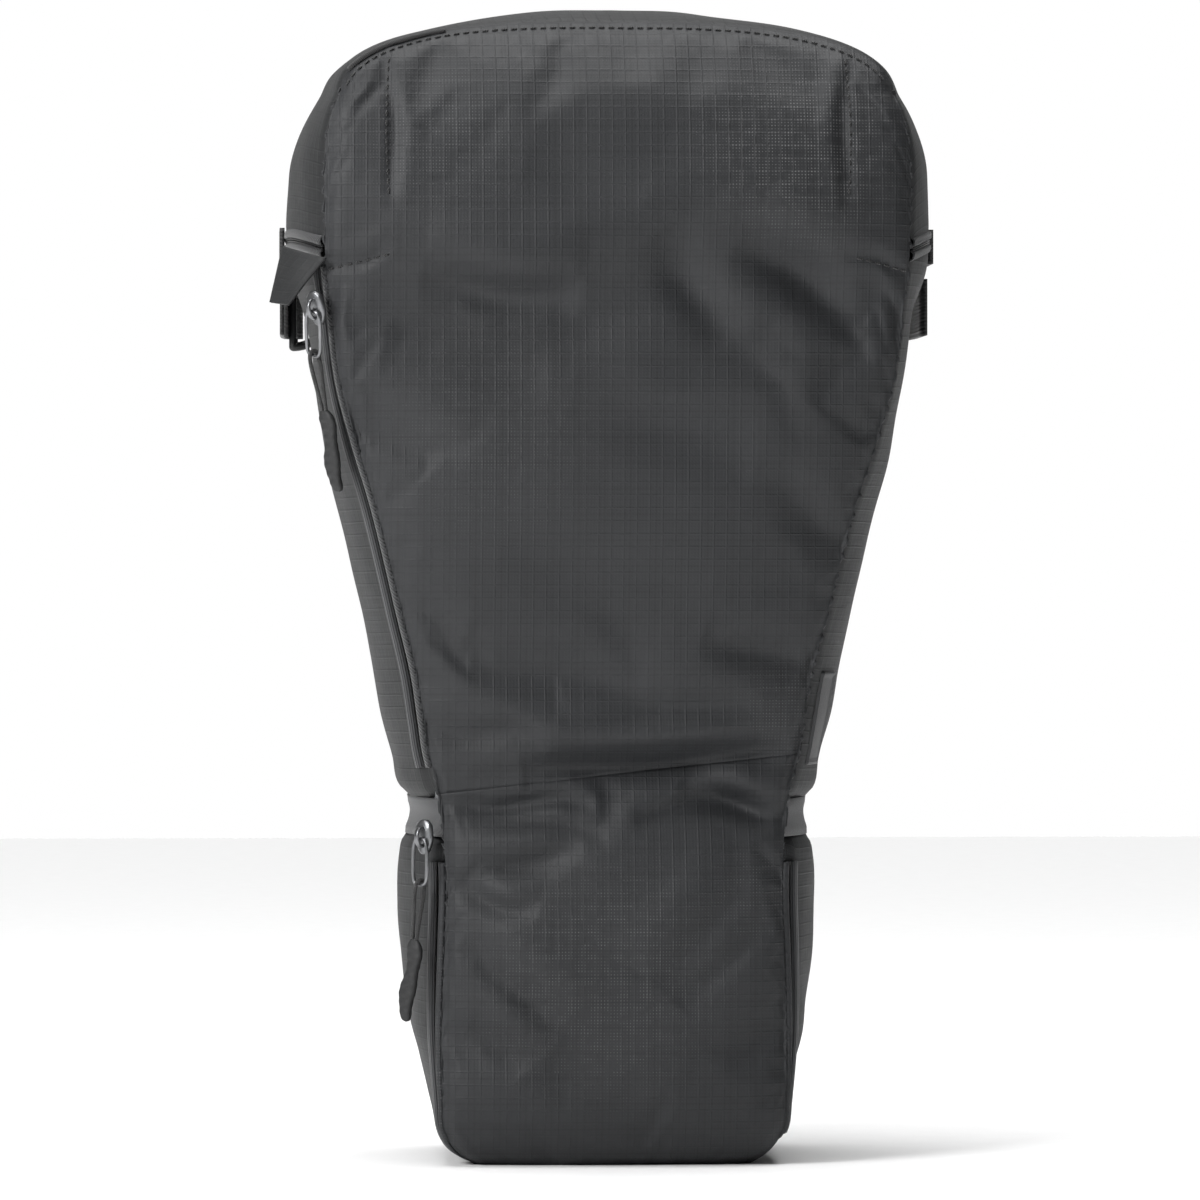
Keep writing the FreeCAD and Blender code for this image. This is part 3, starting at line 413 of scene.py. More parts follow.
def make_materials():
    # Coated ripstop nylon: charcoal, matt, with a faint grid of raised threads and painted highlights at their
    # crossings.
    coated_ripstop_nylon("coated_ripstop_nylon", "#242527", "#151617", 0.02, painted_glint_strength=0.7)
    # The side walls' plain coated nylon is a little smoother, and coloured darker than the front's: painted shade
    # that dims the walls.
    coated_ripstop_nylon("side_nylon_painted_shade", "#1c1d1e", "#161718", 0.02)
    # Air mesh of knitted polyester on the back: ribbed and matt.
    ribbed_cloth("knitted_back_mesh", "#222325", "#0e0f10", 0.003, 0.0, 0.85, 0.0006)
    # Nylon webbing: ribs across the band, slightly shiny.
    ribbed_cloth("nylon_webbing", "#151617", "#070708", 0.0016, 0.0, 0.6)
    ribbed_cloth("nylon_binding", "#38393b", "#242527", 0.0011, 0.0, 0.6)
    # Twill tape of a zip: fine diagonal ribs.
    ribbed_cloth("twill_zip_tape", "#2c2d2f", "#131415", 0.0013, 0.8, 0.62)
    # Brushed polyester lining: mid grey and soft.
    ribbed_cloth("brushed_lining", "#77797c", "#66686b", 0.0018, 0.78, 0.9)
    # Moulded acetal teeth and rings: black, satin.
    grained("moulded_acetal", "#0c0d0e", "#121314", 0.0006, 0.4, ior=1.48)
    # Zinc die-cast slider painted dark: its colour is lightened to a grey metal as a painted highlight, so that
    # it shows the light.
    grained("painted_zinc", "#6a6b6d", "#8c8d8f", 0.0008, 0.32, metallic=0.9)
    # Thermoplastic rubber of the grips: black, stippled and matt.
    grained("stippled_rubber", "#141415", "#1c1d1e", 0.0005, 0.62, ior=1.52, depth=0.0002)
    # Rubber patch, moulded and plain.
    grained("moulded_patch", "#1e1f21", "#242527", 0.0007, 0.5, ior=1.52)
    # Braided polyester cord and bonded thread.
    ribbed_cloth("braided_cord", "#161718", "#070708", 0.0012, 0.7, 0.7)
    ribbed_cloth("bonded_thread", "#121213", "#0a0a0b", 0.0008, 0.6, 0.6)


def mesh_object(name, vertices, faces, uv, material):
    """A smooth-shaded mesh from whole arrays, in mm, with its UV in metres."""
    mesh = bpy.data.meshes.new(name)
    mesh.from_pydata((vertices * MM).tolist(), [], faces.tolist())
    layer = mesh.uv_layers.new(name="cloth")
    corners = np.empty(len(mesh.loops), np.int32)
    mesh.loops.foreach_get("vertex_index", corners)
    layer.data.foreach_set("uv", uv[corners].ravel().astype(np.float32))
    mesh.polygons.foreach_set("use_smooth", np.ones(len(mesh.polygons), bool))
    mesh.materials.append(MATERIALS[material])
    mesh.update()
    made = bpy.data.objects.new(name, mesh)
    bpy.context.scene.collection.objects.link(made)
    return made


def grid_faces(rows, columns, wrap=False, start=0):
    """Corner indices of every quad of a grid; with wrap, the last column joins the first."""
    index = np.arange(rows * columns).reshape(rows, columns) + start
    after = np.roll(index, -1, 1) if wrap else index[:, 1:]
    here = index if wrap else index[:, :-1]
    return np.stack([here[:-1], after[:-1], after[1:], here[1:]], -1).reshape(-1, 4)


def cloth_uv(points):
    """UV in metres from the distances along the grid's lines."""
    return np.stack([run(points, 1), run(points, 0)], -1).reshape(-1, 2) * MM


def outward(points, faces, facing=None):
    """The faces turned so that they point away from the bag's middle, or along facing."""
    a, b, c = (points[faces[:, i]] for i in range(3))
    across = np.cross(b - a, c - a)
    away = facing if facing is not None else a - np.array([0, MIDDLE_Y, points[:, 2].mean()])
    return faces if (across * away).sum() > 0 else faces[:, ::-1]


def panel(name, points, material, uv=None, thick=1.2, facing=None):
    """A sewn panel: a grid of points in mm, given its thickness inwards."""
    rows, columns = points.shape[:2]
    flat = points.reshape(-1, 3)
    faces = outward(flat, grid_faces(rows, columns), facing)
    laid = cloth_uv(points) if uv is None else uv.reshape(-1, 2) * MM
    made = mesh_object(name, flat, faces, laid, material)
    if thick:
        walls = made.modifiers.new("thickness", "SOLIDIFY")
        walls.thickness = thick * MM
        walls.offset = -1
    return made


def between(name, outer, inner, material, wrap=False):
    """A closed pad between two grids of the same size: both faces and the walls that join their edges."""
    rows, columns = outer.shape[:2]
    count = rows * columns
    index = np.arange(count).reshape(rows, columns)
    parts = [grid_faces(rows, columns, wrap), grid_faces(rows, columns, wrap, count)[:, ::-1]]
    rims = [(index[0], 1), (index[-1], -1)]
    if not wrap:
        rims += [(index[:, 0], -1), (index[:, -1], 1)]
    for rim, way in rims:
        after = np.roll(rim, -1) if wrap else rim[1:]
        here = rim if wrap else rim[:-1]
        wall = np.stack([after, here, here + count, after + count], -1)
        parts.append(wall if way > 0 else wall[:, ::-1])
    points = np.concatenate([outer.reshape(-1, 3), inner.reshape(-1, 3)])
    uv = np.concatenate([cloth_uv(outer), cloth_uv(inner)])
    made = mesh_object(name, points, np.concatenate(parts), uv, material)
    closed(made)
    return made


def closed(made):
    """Merges doubled corners, drops slivers and turns a closed mesh's faces outwards."""
    work = bmesh.new()
    work.from_mesh(made.data)
    bmesh.ops.remove_doubles(work, verts=work.verts, dist=1e-6)
    bmesh.ops.dissolve_degenerate(work, edges=work.edges, dist=1e-7)
    bmesh.ops.recalc_face_normals(work, faces=work.faces)
    work.to_mesh(made.data)
    work.free()


def round_bar(name, path, first, second, half_a, half_b, material, loop=False, power=2.0):
    """A bar of rounded section carried along a path: the section is a superellipse with half sizes along
    the two given directions, and an open bar's ends taper to closed points."""
    turn = np.linspace(0, 2 * np.pi, 16, endpoint=False)
    c, s = np.cos(turn), np.sin(turn)
    a = np.sign(c) * np.abs(c) ** (2 / power)
    b = np.sign(s) * np.abs(s) ** (2 / power)
    count = len(path)
    taper = np.ones(count)
    if loop:
        path, first, second = (np.concatenate([each, each[:1]]) for each in (path, first, second))
        taper = np.ones(count + 1)
    else:
        path = np.concatenate([path[:1], path, path[-1:]])
        first = np.concatenate([first[:1], first, first[-1:]])
        second = np.concatenate([second[:1], second, second[-1:]])
        taper = np.concatenate([[0], taper, [0]])
    half_a, half_b = np.broadcast_to(half_a, count), np.broadcast_to(half_b, count)
    ends = (0,) if loop else (-1,)
    half_a = np.append(half_a, half_a[ends[0]]) if loop else np.pad(half_a, 1, "edge")
    half_b = np.append(half_b, half_b[ends[0]]) if loop else np.pad(half_b, 1, "edge")
    points = (path[:, None] + first[:, None] * (a[None] * (taper * half_a)[:, None])[..., None]
              + second[:, None] * (b[None] * (taper * half_b)[:, None])[..., None])
    rows = len(points)
    uv = np.stack([np.broadcast_to(turn * 1.5, (rows, 16)), run(points, 0)], -1).reshape(-1, 2) * MM
    made = mesh_object(name, points.reshape(-1, 3), grid_faces(rows, 16, True), uv, material)
    closed(made)
    return made


def stitches(name, path, up, material="bonded_thread", pitch=4.2, length=3.0, radius=0.45):
    """A row of thread stitches: small capsules along a path, evenly spaced, with up the cloth's normal."""
    far = np.concatenate([[0], np.cumsum(np.linalg.norm(np.diff(path, axis=0), axis=1))])
    places = np.arange(pitch / 2, far[-1] - pitch / 2, pitch)
    at = np.stack([np.interp(places, far, path[:, i]) for i in range(3)], -1)
    ahead = np.stack([np.interp(places + 0.5, far, path[:, i]) for i in range(3)], -1) - at
    ahead /= np.linalg.norm(ahead, axis=1, keepdims=True)
    above = np.stack([np.interp(places, far, up[:, i]) for i in range(3)], -1)
    aside = np.cross(ahead, above)
    aside /= np.linalg.norm(aside, axis=1, keepdims=True)
    t = np.linspace(-1, 1, 7)
    turn = np.linspace(0, 2 * np.pi, 6, endpoint=False)
    ring = radius * np.sqrt(np.maximum(1 - t ** 4, 0))
    points = (at[:, None, None] + ahead[:, None, None] * (t * length / 2)[None, :, None, None]
              + aside[:, None, None] * (ring[:, None] * np.cos(turn))[None, :, :, None]
              + above[:, None, None] * (ring[:, None] * np.sin(turn))[None, :, :, None])
    one = grid_faces(7, 6, True)
    faces = (one[None] + (np.arange(len(places)) * 42)[:, None, None]).reshape(-1, 4)
    flat = points.reshape(-1, 3)
    made = mesh_object(name, flat, faces, flat[:, [0, 2]] * MM, material)
    closed(made)
    return made


def settle(piece, body, slot, *nodes):
    """Gives a finished piece its body and the CAD nodes it stands for; its material slot is not used."""
    if body:
        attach(piece, body)
    if nodes:
        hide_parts(*nodes)
    return piece


def split_line(x):
    return SPLIT_HEIGHT + SPLIT_RISE * x


def spread(count):
    """Shares from -1 to 1 across, closer together at both edges."""
    return np.sin(np.linspace(-1, 1, count) * np.pi / 2)


def upper_sheet(columns=170, rows=230):
    """The upper front sheet's grid: across from edge to edge, and up from the hidden fold to the arc."""
    share, rise = np.meshgrid(spread(columns), np.linspace(0, 1, rows))
    foot = split_line(share * 79)
    z = foot + rise * (arc_top(share) - foot)
    x = share * front_half(z)
    return np.stack([x, front_y(x, z), z], -1)


def lower_sheet(columns=130, rows=150):
    """The lower front sheet's grid, from the base to the hidden fold."""
    share, rise = np.meshgrid(spread(columns), np.linspace(0, 1, rows))
    z = rise * split_line(share * 79)
    x = share * front_half(z)
    return np.stack([x, front_y(x, z), z], -1)


def padded_panel(name, points, material, edges, seed, body, slot, *nodes, groove=0.0):
    """A foam-backed panel: it swells a little between its seams, ripples, and sinks into the seams. A groove
    beside its front edge makes room for a zip."""
    rows, columns = run(points, 0), run(points, 1)
    swell = 1.0 * ripple(rows, columns, seed, 70) - groove * bump(columns - 5.5, 4.5)
    shaped = tucked(points + normals(points) * swell[..., None], edges)
    return settle(panel(name, shaped, material), body, slot, *nodes)


def wall_grid(side, low, high, rows, columns=70):
    """A side wall between two heights; each may be a function of v."""
    v, t = np.meshgrid(np.linspace(0, 1, columns), np.linspace(0, 1, rows))
    foot = low(v) if callable(low) else low
    head = high(v) if callable(high) else high
    return side_point(side, foot + t * (head - foot), v)


def back_grid(low, high, rows, columns=60):
    """The back panel between two heights, crowned a little."""
    share, t = np.meshgrid(spread(columns), np.linspace(0, 1, rows))
    head = high(share) if callable(high) else high
    z = low + t * (head - low)
    half = smooth(SIDE_HALF, np.minimum(z, rear_height(ARC_FOOT))) - BACK_INSET
    crown = BACK_CROWN * (1 - share ** 2)
    return np.stack([share * half, smooth(BACK_Y, z) + crown, z], -1)


def back_arc(share):
    return arc_top(share) - BACK_DROP


def loop_at(z, inset, front=46, wall=40, back=40):
    """A closed horizontal section of the bag at each height, drawn in by inset along its own normals."""
    z = np.asarray(z, float)[:, None]
    share = np.linspace(-1, 1, front)[None, :-1]
    x = share * front_half(z)
    ahead = np.stack([x, front_y(x, z), np.broadcast_to(z, x.shape)], -1)
    v = np.linspace(0, 1, wall)[None, :-1]
    full = np.broadcast_to(z, (len(z), wall - 1))
    right = side_point(1.0, full, np.broadcast_to(v, full.shape))
    left = side_point(-1.0, full, np.broadcast_to(v, full.shape))[:, ::-1]
    last = side_point(-1.0, z, np.ones_like(z))
    left = np.concatenate([last, left[:, :-1]], 1)
    share = np.linspace(1, -1, back)[None, :-1]
    x = share * (smooth(SIDE_HALF, z) - 14)
    depth = smooth(BACK_Y, z) + BACK_CROWN * (1 - share ** 2) + 0 * x
    behind = np.stack([x, depth, np.broadcast_to(z, x.shape)], -1)
    ring = np.concatenate([ahead, right, behind, left], 1)
    along = np.roll(ring, -2, 1) - np.roll(ring, 2, 1)
    out = np.stack([along[..., 1], -along[..., 0], 0 * along[..., 0]], -1)
    out /= np.linalg.norm(out, axis=-1, keepdims=True) + 1e-9
    return ring - out * inset


def disc(z, inset, rings=12):
    """A filled section at one height: its closed outline drawn in towards the middle in rings."""
    ring = loop_at([z], inset)
    middle = np.array([0, MIDDLE_Y, z])
    shares = np.linspace(0, 1, rings)[:, None, None]
    return middle + (ring - middle) * shares


class BagSizes(bpy.types.PropertyGroup):
    """Sizes that a user would change."""
    cloth: bpy.props.FloatProperty(name="Cloth", description="Thickness of the shell fabric", default=0.0012,
                                   unit="LENGTH")
    stitch: bpy.props.FloatProperty(name="Stitch", description="Distance from one stitch to the next",
                                    default=0.0042, unit="LENGTH")
    tooth: bpy.props.FloatProperty(name="Zip tooth", description="Pitch of the zip's coil", default=0.0015,
                                   unit="LENGTH")
    pad: bpy.props.FloatProperty(name="Padding", description="Thickness of foam and lining together",
                                 default=0.0062, unit="LENGTH")
    slack: bpy.props.FloatProperty(name="Slack", description="How much too large the front fabric is cut",
                                   default=0.022, subtype="FACTOR")


class BagColours(bpy.types.PropertyGroup):
    """Colours of the stage."""
    floor: bpy.props.FloatVectorProperty(name="Floor", description="Colour of the floor", subtype="COLOR",
                                         size=4, default=linear("#fafafa"))


def slack_cloth(grid, slack, pressure, frames):
    """Simulates a cloth cut larger than its frame by slack, sewn down at its border and pressed outwards, and
    returns where its points settle. The same grid always gives the same folds."""
    rows, columns = grid.shape[:2]
    made = panel("slack_cloth", grid, "coated_ripstop_nylon", thick=0)
    border = np.zeros((rows, columns), bool)
    border[[0, -1]] = True
    border[:, [0, -1]] = True
    sewn = made.vertex_groups.new(name="sewn")
    sewn.add(np.flatnonzero(border).tolist(), 1.0, "REPLACE")
    cloth = made.modifiers.new("cloth", "CLOTH")
    cloth.settings.vertex_group_mass = "sewn"
    cloth.settings.quality = 5
    cloth.settings.mass = 0.2
    cloth.settings.tension_stiffness = 12
    cloth.settings.compression_stiffness = 12
    cloth.settings.shear_stiffness = 4
    cloth.settings.bending_stiffness = 2.5
    cloth.settings.air_damping = 2
    cloth.settings.shrink_min = -slack
    cloth.settings.use_pressure = True
    cloth.settings.uniform_pressure_force = pressure
    cloth.settings.effector_weights.gravity = 0
    cloth.collision_settings.use_collision = False
    cloth.point_cache.frame_end = frames
    scene = bpy.context.scene
    for step in range(1, frames + 1):
        scene.frame_set(step)
    shaped = made.evaluated_get(bpy.context.evaluated_depsgraph_get()).to_mesh()
    places = np.empty(rows * columns * 3, np.float32)
    shaped.vertices.foreach_get("co", places)
    scene.frame_set(1)
    bpy.data.objects.remove(made)
    return places.reshape(rows, columns, 3) / MM


class LENSBAG_OT_folds(bpy.types.Operator):
    """Folds of the front fabric: a cloth cut a little too large settles over the drawn creases"""
    bl_idname = "lensbag.folds"
    bl_label = "Folds of the front"

    def execute(self, context):
        SETTLED.clear()
        share, rise = np.meshgrid(spread(CLOTH_COLUMNS), np.linspace(0, 1, CLOTH_ROWS))
        z = rise * arc_top(share)
        x = share * front_half(z)
        grid = np.stack([x, front_y(x, z), z], -1)
        moved = (slack_cloth(grid, context.scene.bag_sizes.slack, CLOTH_PRESSURE, CLOTH_FRAMES) - grid)[..., 1]
        moved = MOST_MOVED * np.tanh(moved / MOST_MOVED)
        if not np.isfinite(moved).all():
            raise RuntimeError("the cloth did not settle")
        SETTLED.append(moved)
        return {"FINISHED"}


class LENSBAG_OT_front(bpy.types.Operator):
    """Front fabric: one crowned, creased sheet, split in a hidden fold into an upper and a lower sheet"""
    bl_idname = "lensbag.front"
    bl_label = "Front fabric"

    def execute(self, context):
        thick = context.scene.bag_sizes.cloth / MM
        grid = upper_sheet()
        upper = panel("front_fabric_upper", grid, "coated_ripstop_nylon", grid[..., [0, 2]], thick)
        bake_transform(upper)
        settle(upper, None, "shell_fabric", "main_front_panel", "lid_front_panel")
        grid = lower_sheet()
        lower = panel("front_fabric_lower", grid, "coated_ripstop_nylon", grid[..., [0, 2]], thick)
        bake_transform(lower)
        settle(lower, None, "shell_fabric", "flap_panel")
        return {"FINISHED"}


class LENSBAG_OT_body(bpy.types.Operator):
    """Padded walls of the upper compartment, the neck band and the lower compartment"""
    bl_idname = "lensbag.body"
    bl_label = "Padded walls"

    def execute(self, context):
        for side, word in ((-1.0, "left"), (1.0, "right")):
            padded_panel(f"upper_{word}_wall", wall_grid(side, NECK_HEAD, lid_seam, 120), "side_nylon_painted_shade",
                         "lhfe", 11, "main_shell", "shell_fabric", f"main_{word}_gusset",
                         groove=3.0 if side < 0 else 0.0)
            padded_panel(f"lower_{word}_wall", wall_grid(side, 0.0, NECK_FOOT, 80), "side_nylon_painted_shade",
                         "hfe", 12, "main_shell", "shell_fabric", f"lower_{word}_gusset", groove=3.0)
            neck = wall_grid(side, NECK_FOOT, NECK_HEAD, 14)
            settle(panel(f"neck_{word}_binding", tucked(neck, "lh", 1.0, 2.0), "nylon_binding"),
                   "main_shell", "webbing")
        padded_panel("upper_back_wall", back_grid(NECK_HEAD, 391.0, 90), "knitted_back_mesh", "lhfe", 13,
                     "main_shell", "back_fabric", "main_back_panel", "back_board")
        padded_panel("lower_back_wall", back_grid(0.0, NECK_FOOT, 60), "knitted_back_mesh", "hfe", 14,
                     "main_shell", "back_fabric", "lower_back_panel")
        settle(panel("neck_back_binding", tucked(back_grid(NECK_FOOT, NECK_HEAD, 14), "lh", 1.0, 2.0),
                     "nylon_binding"), "main_shell", "webbing", "neck_band")
        base = between("base_pad", disc(0.0, 0.5), disc(5.0, 3.0), "side_nylon_painted_shade", wrap=True)
        settle(base, "main_shell", "shell_fabric", "base_panel", "base_board")
        return {"FINISHED"}


class LENSBAG_OT_lid(bpy.types.Operator):
    """Lid: a band over both sides and the top, and its back panel"""
    bl_idname = "lensbag.lid"
    bl_label = "Lid"

    def execute(self, context):
        v, t = np.meshgrid(np.linspace(0, 1, 70), np.linspace(-1, 1, 240))
        band = over_point(t * seam_share(v), v)
        padded_panel("lid_band", band, "side_nylon_painted_shade", "lhfe", 21, "lid", "shell_fabric",
                     "lid_left_gusset", "lid_right_gusset", "lid_top_panel")
        padded_panel("lid_back_wall", back_grid(391.0, back_arc, 50), "side_nylon_painted_shade", "lhfe", 22, "lid",
                     "back_fabric", "lid_back_panel")
        return {"FINISHED"}


class LENSBAG_OT_padding(bpy.types.Operator):
    """Padding and lining inside, seen when the lid or the flap is open"""
    bl_idname = "lensbag.padding"
    bl_label = "Padding and lining"

    def execute(self, context):
        skin = 3.2
        inner = skin + context.scene.bag_sizes.pad / MM
        heights = np.linspace(NECK_HEAD - 2, 386, 70)
        main = between("main_padding", loop_at(heights, skin), loop_at(heights, inner),
                       "brushed_lining", True)
        settle(main, "main_shell", "lining", "main_front_foam", "main_left_foam", "main_right_foam",
               "main_back_foam", "main_lining")
        floor = between("neck_divider_pad", disc(156.0, 4.5), disc(145.0, 4.5), "brushed_lining", True)
        settle(floor, "main_shell", "foam", "neck_divider")
        rim = loop_at([395.0], 0)[0]
        turn = np.linspace(0, 1, 30)[:, None, None]
        domes = []
        for inset in (skin + 1.5, inner + 1.5):
            rise = (1 - (1 - turn) ** 1.5)
            high = 395 + rise * (98 - inset)
            wide = np.maximum(1 - rise ** 2.6, 0) ** (1 / 2.6)
            middle = np.array([0, MIDDLE_Y, 0])
            flat = (rim[None] - middle) * wide * (1 - inset / 95) + middle
            ahead = np.clip(MIDDLE_Y - flat[..., 1], 0, None)
            flat[..., 1] += ahead * 0.05 - 4 * rise[..., 0] ** 2
            flat[..., 2] = high[..., 0]
            domes.append(flat)
        dome = between("lid_padding", domes[0], domes[1], "brushed_lining", True)
        settle(dome, "lid", "lining", "lid_foam", "lid_lining")
        heights = np.linspace(6, 139, 50)
        walls = [loop_at(heights, inset)[:, 45:] for inset in (skin, inner)]
        lower = between("lower_padding", walls[0], walls[1], "brushed_lining")
        settle(lower, "main_shell", "lining", "lower_side_foam", "lower_back_foam", "lower_lining")
        base = between("base_padding", disc(12.0, 5.0), disc(5.5, 5.0), "brushed_lining", True)
        settle(base, "main_shell", "lining", "base_foam")
        share, rise = np.meshgrid(np.linspace(-1, 1, 50), np.linspace(0, 1, 50))
        z = 17 + rise * 117
        x = share * (front_half(z) - 4)
        y = front_y(x, z)
        pads = [np.stack([x, y + inset + 0.8, z], -1) for inset in (2.0, 8.0)]
        flap = between("flap_padding", pads[0], pads[1], "brushed_lining")
        settle(flap, "lower_flap", "lining", "flap_foam", "flap_lining")
        return {"FINISHED"}


def wall_strip(side, heights, offsets, lifts):
    """A strip on a side wall beside the front edge: offsets along the wall and lifts off it, in mm, for each
    of its lines, carried down the heights."""
    z = np.broadcast_to(heights[:, None], (len(heights), len(offsets)))
    speed = np.linalg.norm(side_point(side, z, 0 * z + 0.02) - side_point(side, z, 0 * z), axis=-1) / 0.02
    grid = side_point(side, z, offsets[None] / speed)
    step = 0.01
    across = side_point(side, z, offsets[None] / speed + step) - grid
    along = side_point(side, z + 1.0, (offsets[None] / speed)) - grid
    out = np.cross(across, along)
    out /= np.linalg.norm(out, axis=-1, keepdims=True)
    out *= np.sign(out[..., :1] * side)
    return grid + out * np.broadcast_to(lifts, z.shape)[..., None]


def seam_strip(low, high, offsets, lifts, columns=220):
    """A strip that follows the lid's seam round the left wall, the back and the right wall."""
    v = np.linspace(low, high, columns // 3)
    parts = []
    for offset in offsets:
        left = side_point(-1.0, lid_seam(v) + offset, v)
        share = np.linspace(-1, 1, columns // 3)
        z = np.full(share.shape, 391.0 + offset)
        depth = smooth(BACK_Y, z) + BACK_CROWN * (1 - share ** 2)
        back = np.stack([share * (smooth(SIDE_HALF, z) - BACK_INSET), depth, z], -1)
        right = side_point(1.0, lid_seam(v) + offset, v)[::-1]
        parts.append(np.concatenate([left[:-1], back, right[1:]]))
    grid = np.stack(parts, 1)
    along = np.gradient(grid, axis=0)
    out = np.stack([along[..., 1], -along[..., 0], 0 * along[..., 0]], -1)
    out /= np.linalg.norm(out, axis=-1, keepdims=True)
    out *= np.sign((out * (grid - np.array([0, MIDDLE_Y, 0])))[..., :2].sum(-1, keepdims=True))
    return grid + out * np.asarray(lifts)[None, :, None]


class LENSBAG_OT_zips(bpy.types.Operator):
    """Zips: twill tapes, rolled lips and coil teeth of the side, lower and lid zips"""
    bl_idname = "lensbag.zips"
    bl_label = "Zips"

    def execute(self, context):
        pitch = context.scene.bag_sizes.tooth / MM
        heights = np.linspace(172, 386, 160)
        tape = wall_strip(-1.0, heights, np.array([0.3, 1.2, 2.4, 3.6, 4.6]),
                          np.array([0.0, 1.0, 1.2, 1.0, -0.6]))
        settle(panel("side_zip_front_tape", tape, "twill_zip_tape", thick=0.8), "main_shell", "zip_tape")
        lip = wall_strip(-1.0, heights, np.array([7.2, 7.6, 8.6, 10.0, 11.2, 11.8, 12.6]),
                         np.array([-0.8, 1.2, 2.2, 2.3, 1.4, -0.2, 0.2]))
        settle(panel("side_zip_rear_lip", lip, "nylon_binding", thick=0.8), "main_shell", "zip_tape",
               "side_zip_tapes")
        self.coil("side_zip_coil", lambda fine: wall_strip(-1.0, fine, np.array([4.6, 5.3, 6.0, 6.7, 7.3]),
                                                           np.full(5, -1.8)), 172, 386, pitch, "main_shell",
                  "side_zip_teeth")
        for word, body, offsets, lifts, slot, material, nodes in (
            ("shell", "main_shell", (-5.2, -4.4, -3.0, -1.6, -0.5), (-0.6, 0.7, 1.2, 1.1, -0.4), "zip_tape",
             "twill_zip_tape", ("lid_zip_shell_tape",)),
            ("lid", "lid", (5.2, 4.4, 3.0, 1.6, 0.5), (-0.6, 0.7, 1.2, 1.1, -0.4), "zip_tape",
             "twill_zip_tape", ("lid_zip_tape",)),
            ("shell_teeth", "main_shell", (-0.9, -0.6, -0.3, -0.1), (-0.2, 0.5, 0.5, -0.2), "zip_teeth",
             "moulded_acetal", ("lid_zip_shell_teeth",)),
            ("lid_teeth", "lid", (0.9, 0.6, 0.3, 0.1), (-0.2, 0.5, 0.5, -0.2), "zip_teeth",
             "moulded_acetal", ("lid_zip_teeth",)),
        ):
            strip = seam_strip(0.02, 1.0, offsets, lifts)
            settle(panel(f"lid_zip_{word}", strip, material, thick=0.7), body, slot, *nodes)
        for word, body, offsets, lifts, slot, material, nodes in (
            ("flap_tape", "lower_flap", (0.3, 1.0, 2.2, 3.4, 4.2), (0.0, 1.2, 1.5, 1.3, -0.4), "zip_tape",
             "coated_ripstop_nylon", ("flap_zip_tape",)),
            ("flap_teeth", "lower_flap", (4.3, 4.8, 5.3, 5.6), (-1.8, -0.8, -0.8, -1.8), "zip_teeth",
             "moulded_acetal", ("flap_zip_teeth",)),
            ("shell_teeth", "main_shell", (5.8, 6.2, 6.8, 7.2), (-1.8, -0.8, -0.8, -1.8), "zip_teeth",
             "moulded_acetal", ("lower_zip_teeth",)),
            ("shell_tape", "main_shell", (7.3, 7.8, 9.0, 10.4, 11.4, 12.0), (-0.6, 1.3, 2.0, 1.9, 0.9, -0.4),
             "zip_tape", "nylon_binding", ("lower_zip_tape",)),
        ):
            strip = self.round_foot(np.array(offsets), np.array(lifts))
            settle(panel(f"lower_zip_{word}", strip, material, thick=0.7), body, slot, *nodes)
        return {"FINISHED"}

    def coil(self, name, strip, low, high, pitch, body, *nodes):
        """Coil teeth: a rounded strip whose height beats once for every tooth."""
        fine = np.arange(low, high, pitch / 4)
        grid = strip(fine)
        beat = 0.5 + 0.5 * np.cos(2 * np.pi * fine / pitch)[:, None]
        arch = np.sin(np.linspace(0, np.pi, grid.shape[1]))[None]
        lifted = grid + normals(grid) * ((beat * arch) * 0.9 - 0.6)[..., None]
        settle(panel(name, lifted, "moulded_acetal", thick=0.5), body, "zip_teeth", *nodes)

    def round_foot(self, offsets, lifts):
        """A strip beside the flap: down the left wall, round under its foot and up the right wall."""
        heights = np.linspace(131, 14, 60)
        left = wall_strip(-1.0, heights, offsets, lifts)
        right = wall_strip(1.0, heights[::-1], offsets, lifts)
        share = np.linspace(-1, 1, 60)[:, None]
        x = share * (60 + 0 * offsets[None])
        y = -48 + 0.62 * offsets[None] + 0 * x
        z = 0.9 + 0 * x - 0.02 * lifts[None]
        foot = np.stack([x, y, z], -1)
        t = np.linspace(0, 1, 16)[1:-1, None, None]
        turns = []
        for start, end in ((left[-1], foot[0]), (foot[-1], right[0])):
            corner = (start + end) / 2 + (start - end) * np.array([0.28, 0.1, -0.25])
            if end is right[0]:
                corner = (start + end) / 2 + (end - start) * np.array([0.28, 0.1, -0.25])
            turns.append((1 - t) ** 2 * start + 2 * t * (1 - t) * corner + t ** 2 * end)
        return np.concatenate([left, turns[0], foot, turns[1], right])


JOINTS = {joint["name"]: joint for joint in frame["joints"]}
BAIL_DROP = 19.4
CORD_ROUTE = ((-1.1, -24, 0), (-1.3, -14.6, 0.5), (-0.9, -5, 2.1), (-0.4, 2, 2.1), (0.4, 2, -2.1),
              (0.9, -5, -2.1), (1.3, -14.6, -0.5), (1.1, -24, 0))
CORD_DIAMETER = 0.0018


def pull_frames(prefix):
    """Origins in mm and axes of a zip's slider, bail and pull, from their joints."""
    up = -np.array(JOINTS[f"{prefix}_zip_slide"]["axis"], float)
    bail, pull = JOINTS[f"{prefix}_bail_hinge"], JOINTS[f"{prefix}_pull_hinge"]
    bail_x, pull_x = (-np.array(each["axis"], float) for each in (bail, pull))
    out = np.cross(bail_x, up)
    out /= np.linalg.norm(out)
    frames = []
    for place, x in ((bail, bail_x), (pull, pull_x)):
        frames.append((np.array(place["pos_m"], float) / MM, np.stack([x, np.cross(out, x), out])))
    slider = (frames[0][0] + 1.0 * up - 5.3 * out, np.stack([np.cross(up, out), up, out]))
    return slider, frames[0], frames[1]


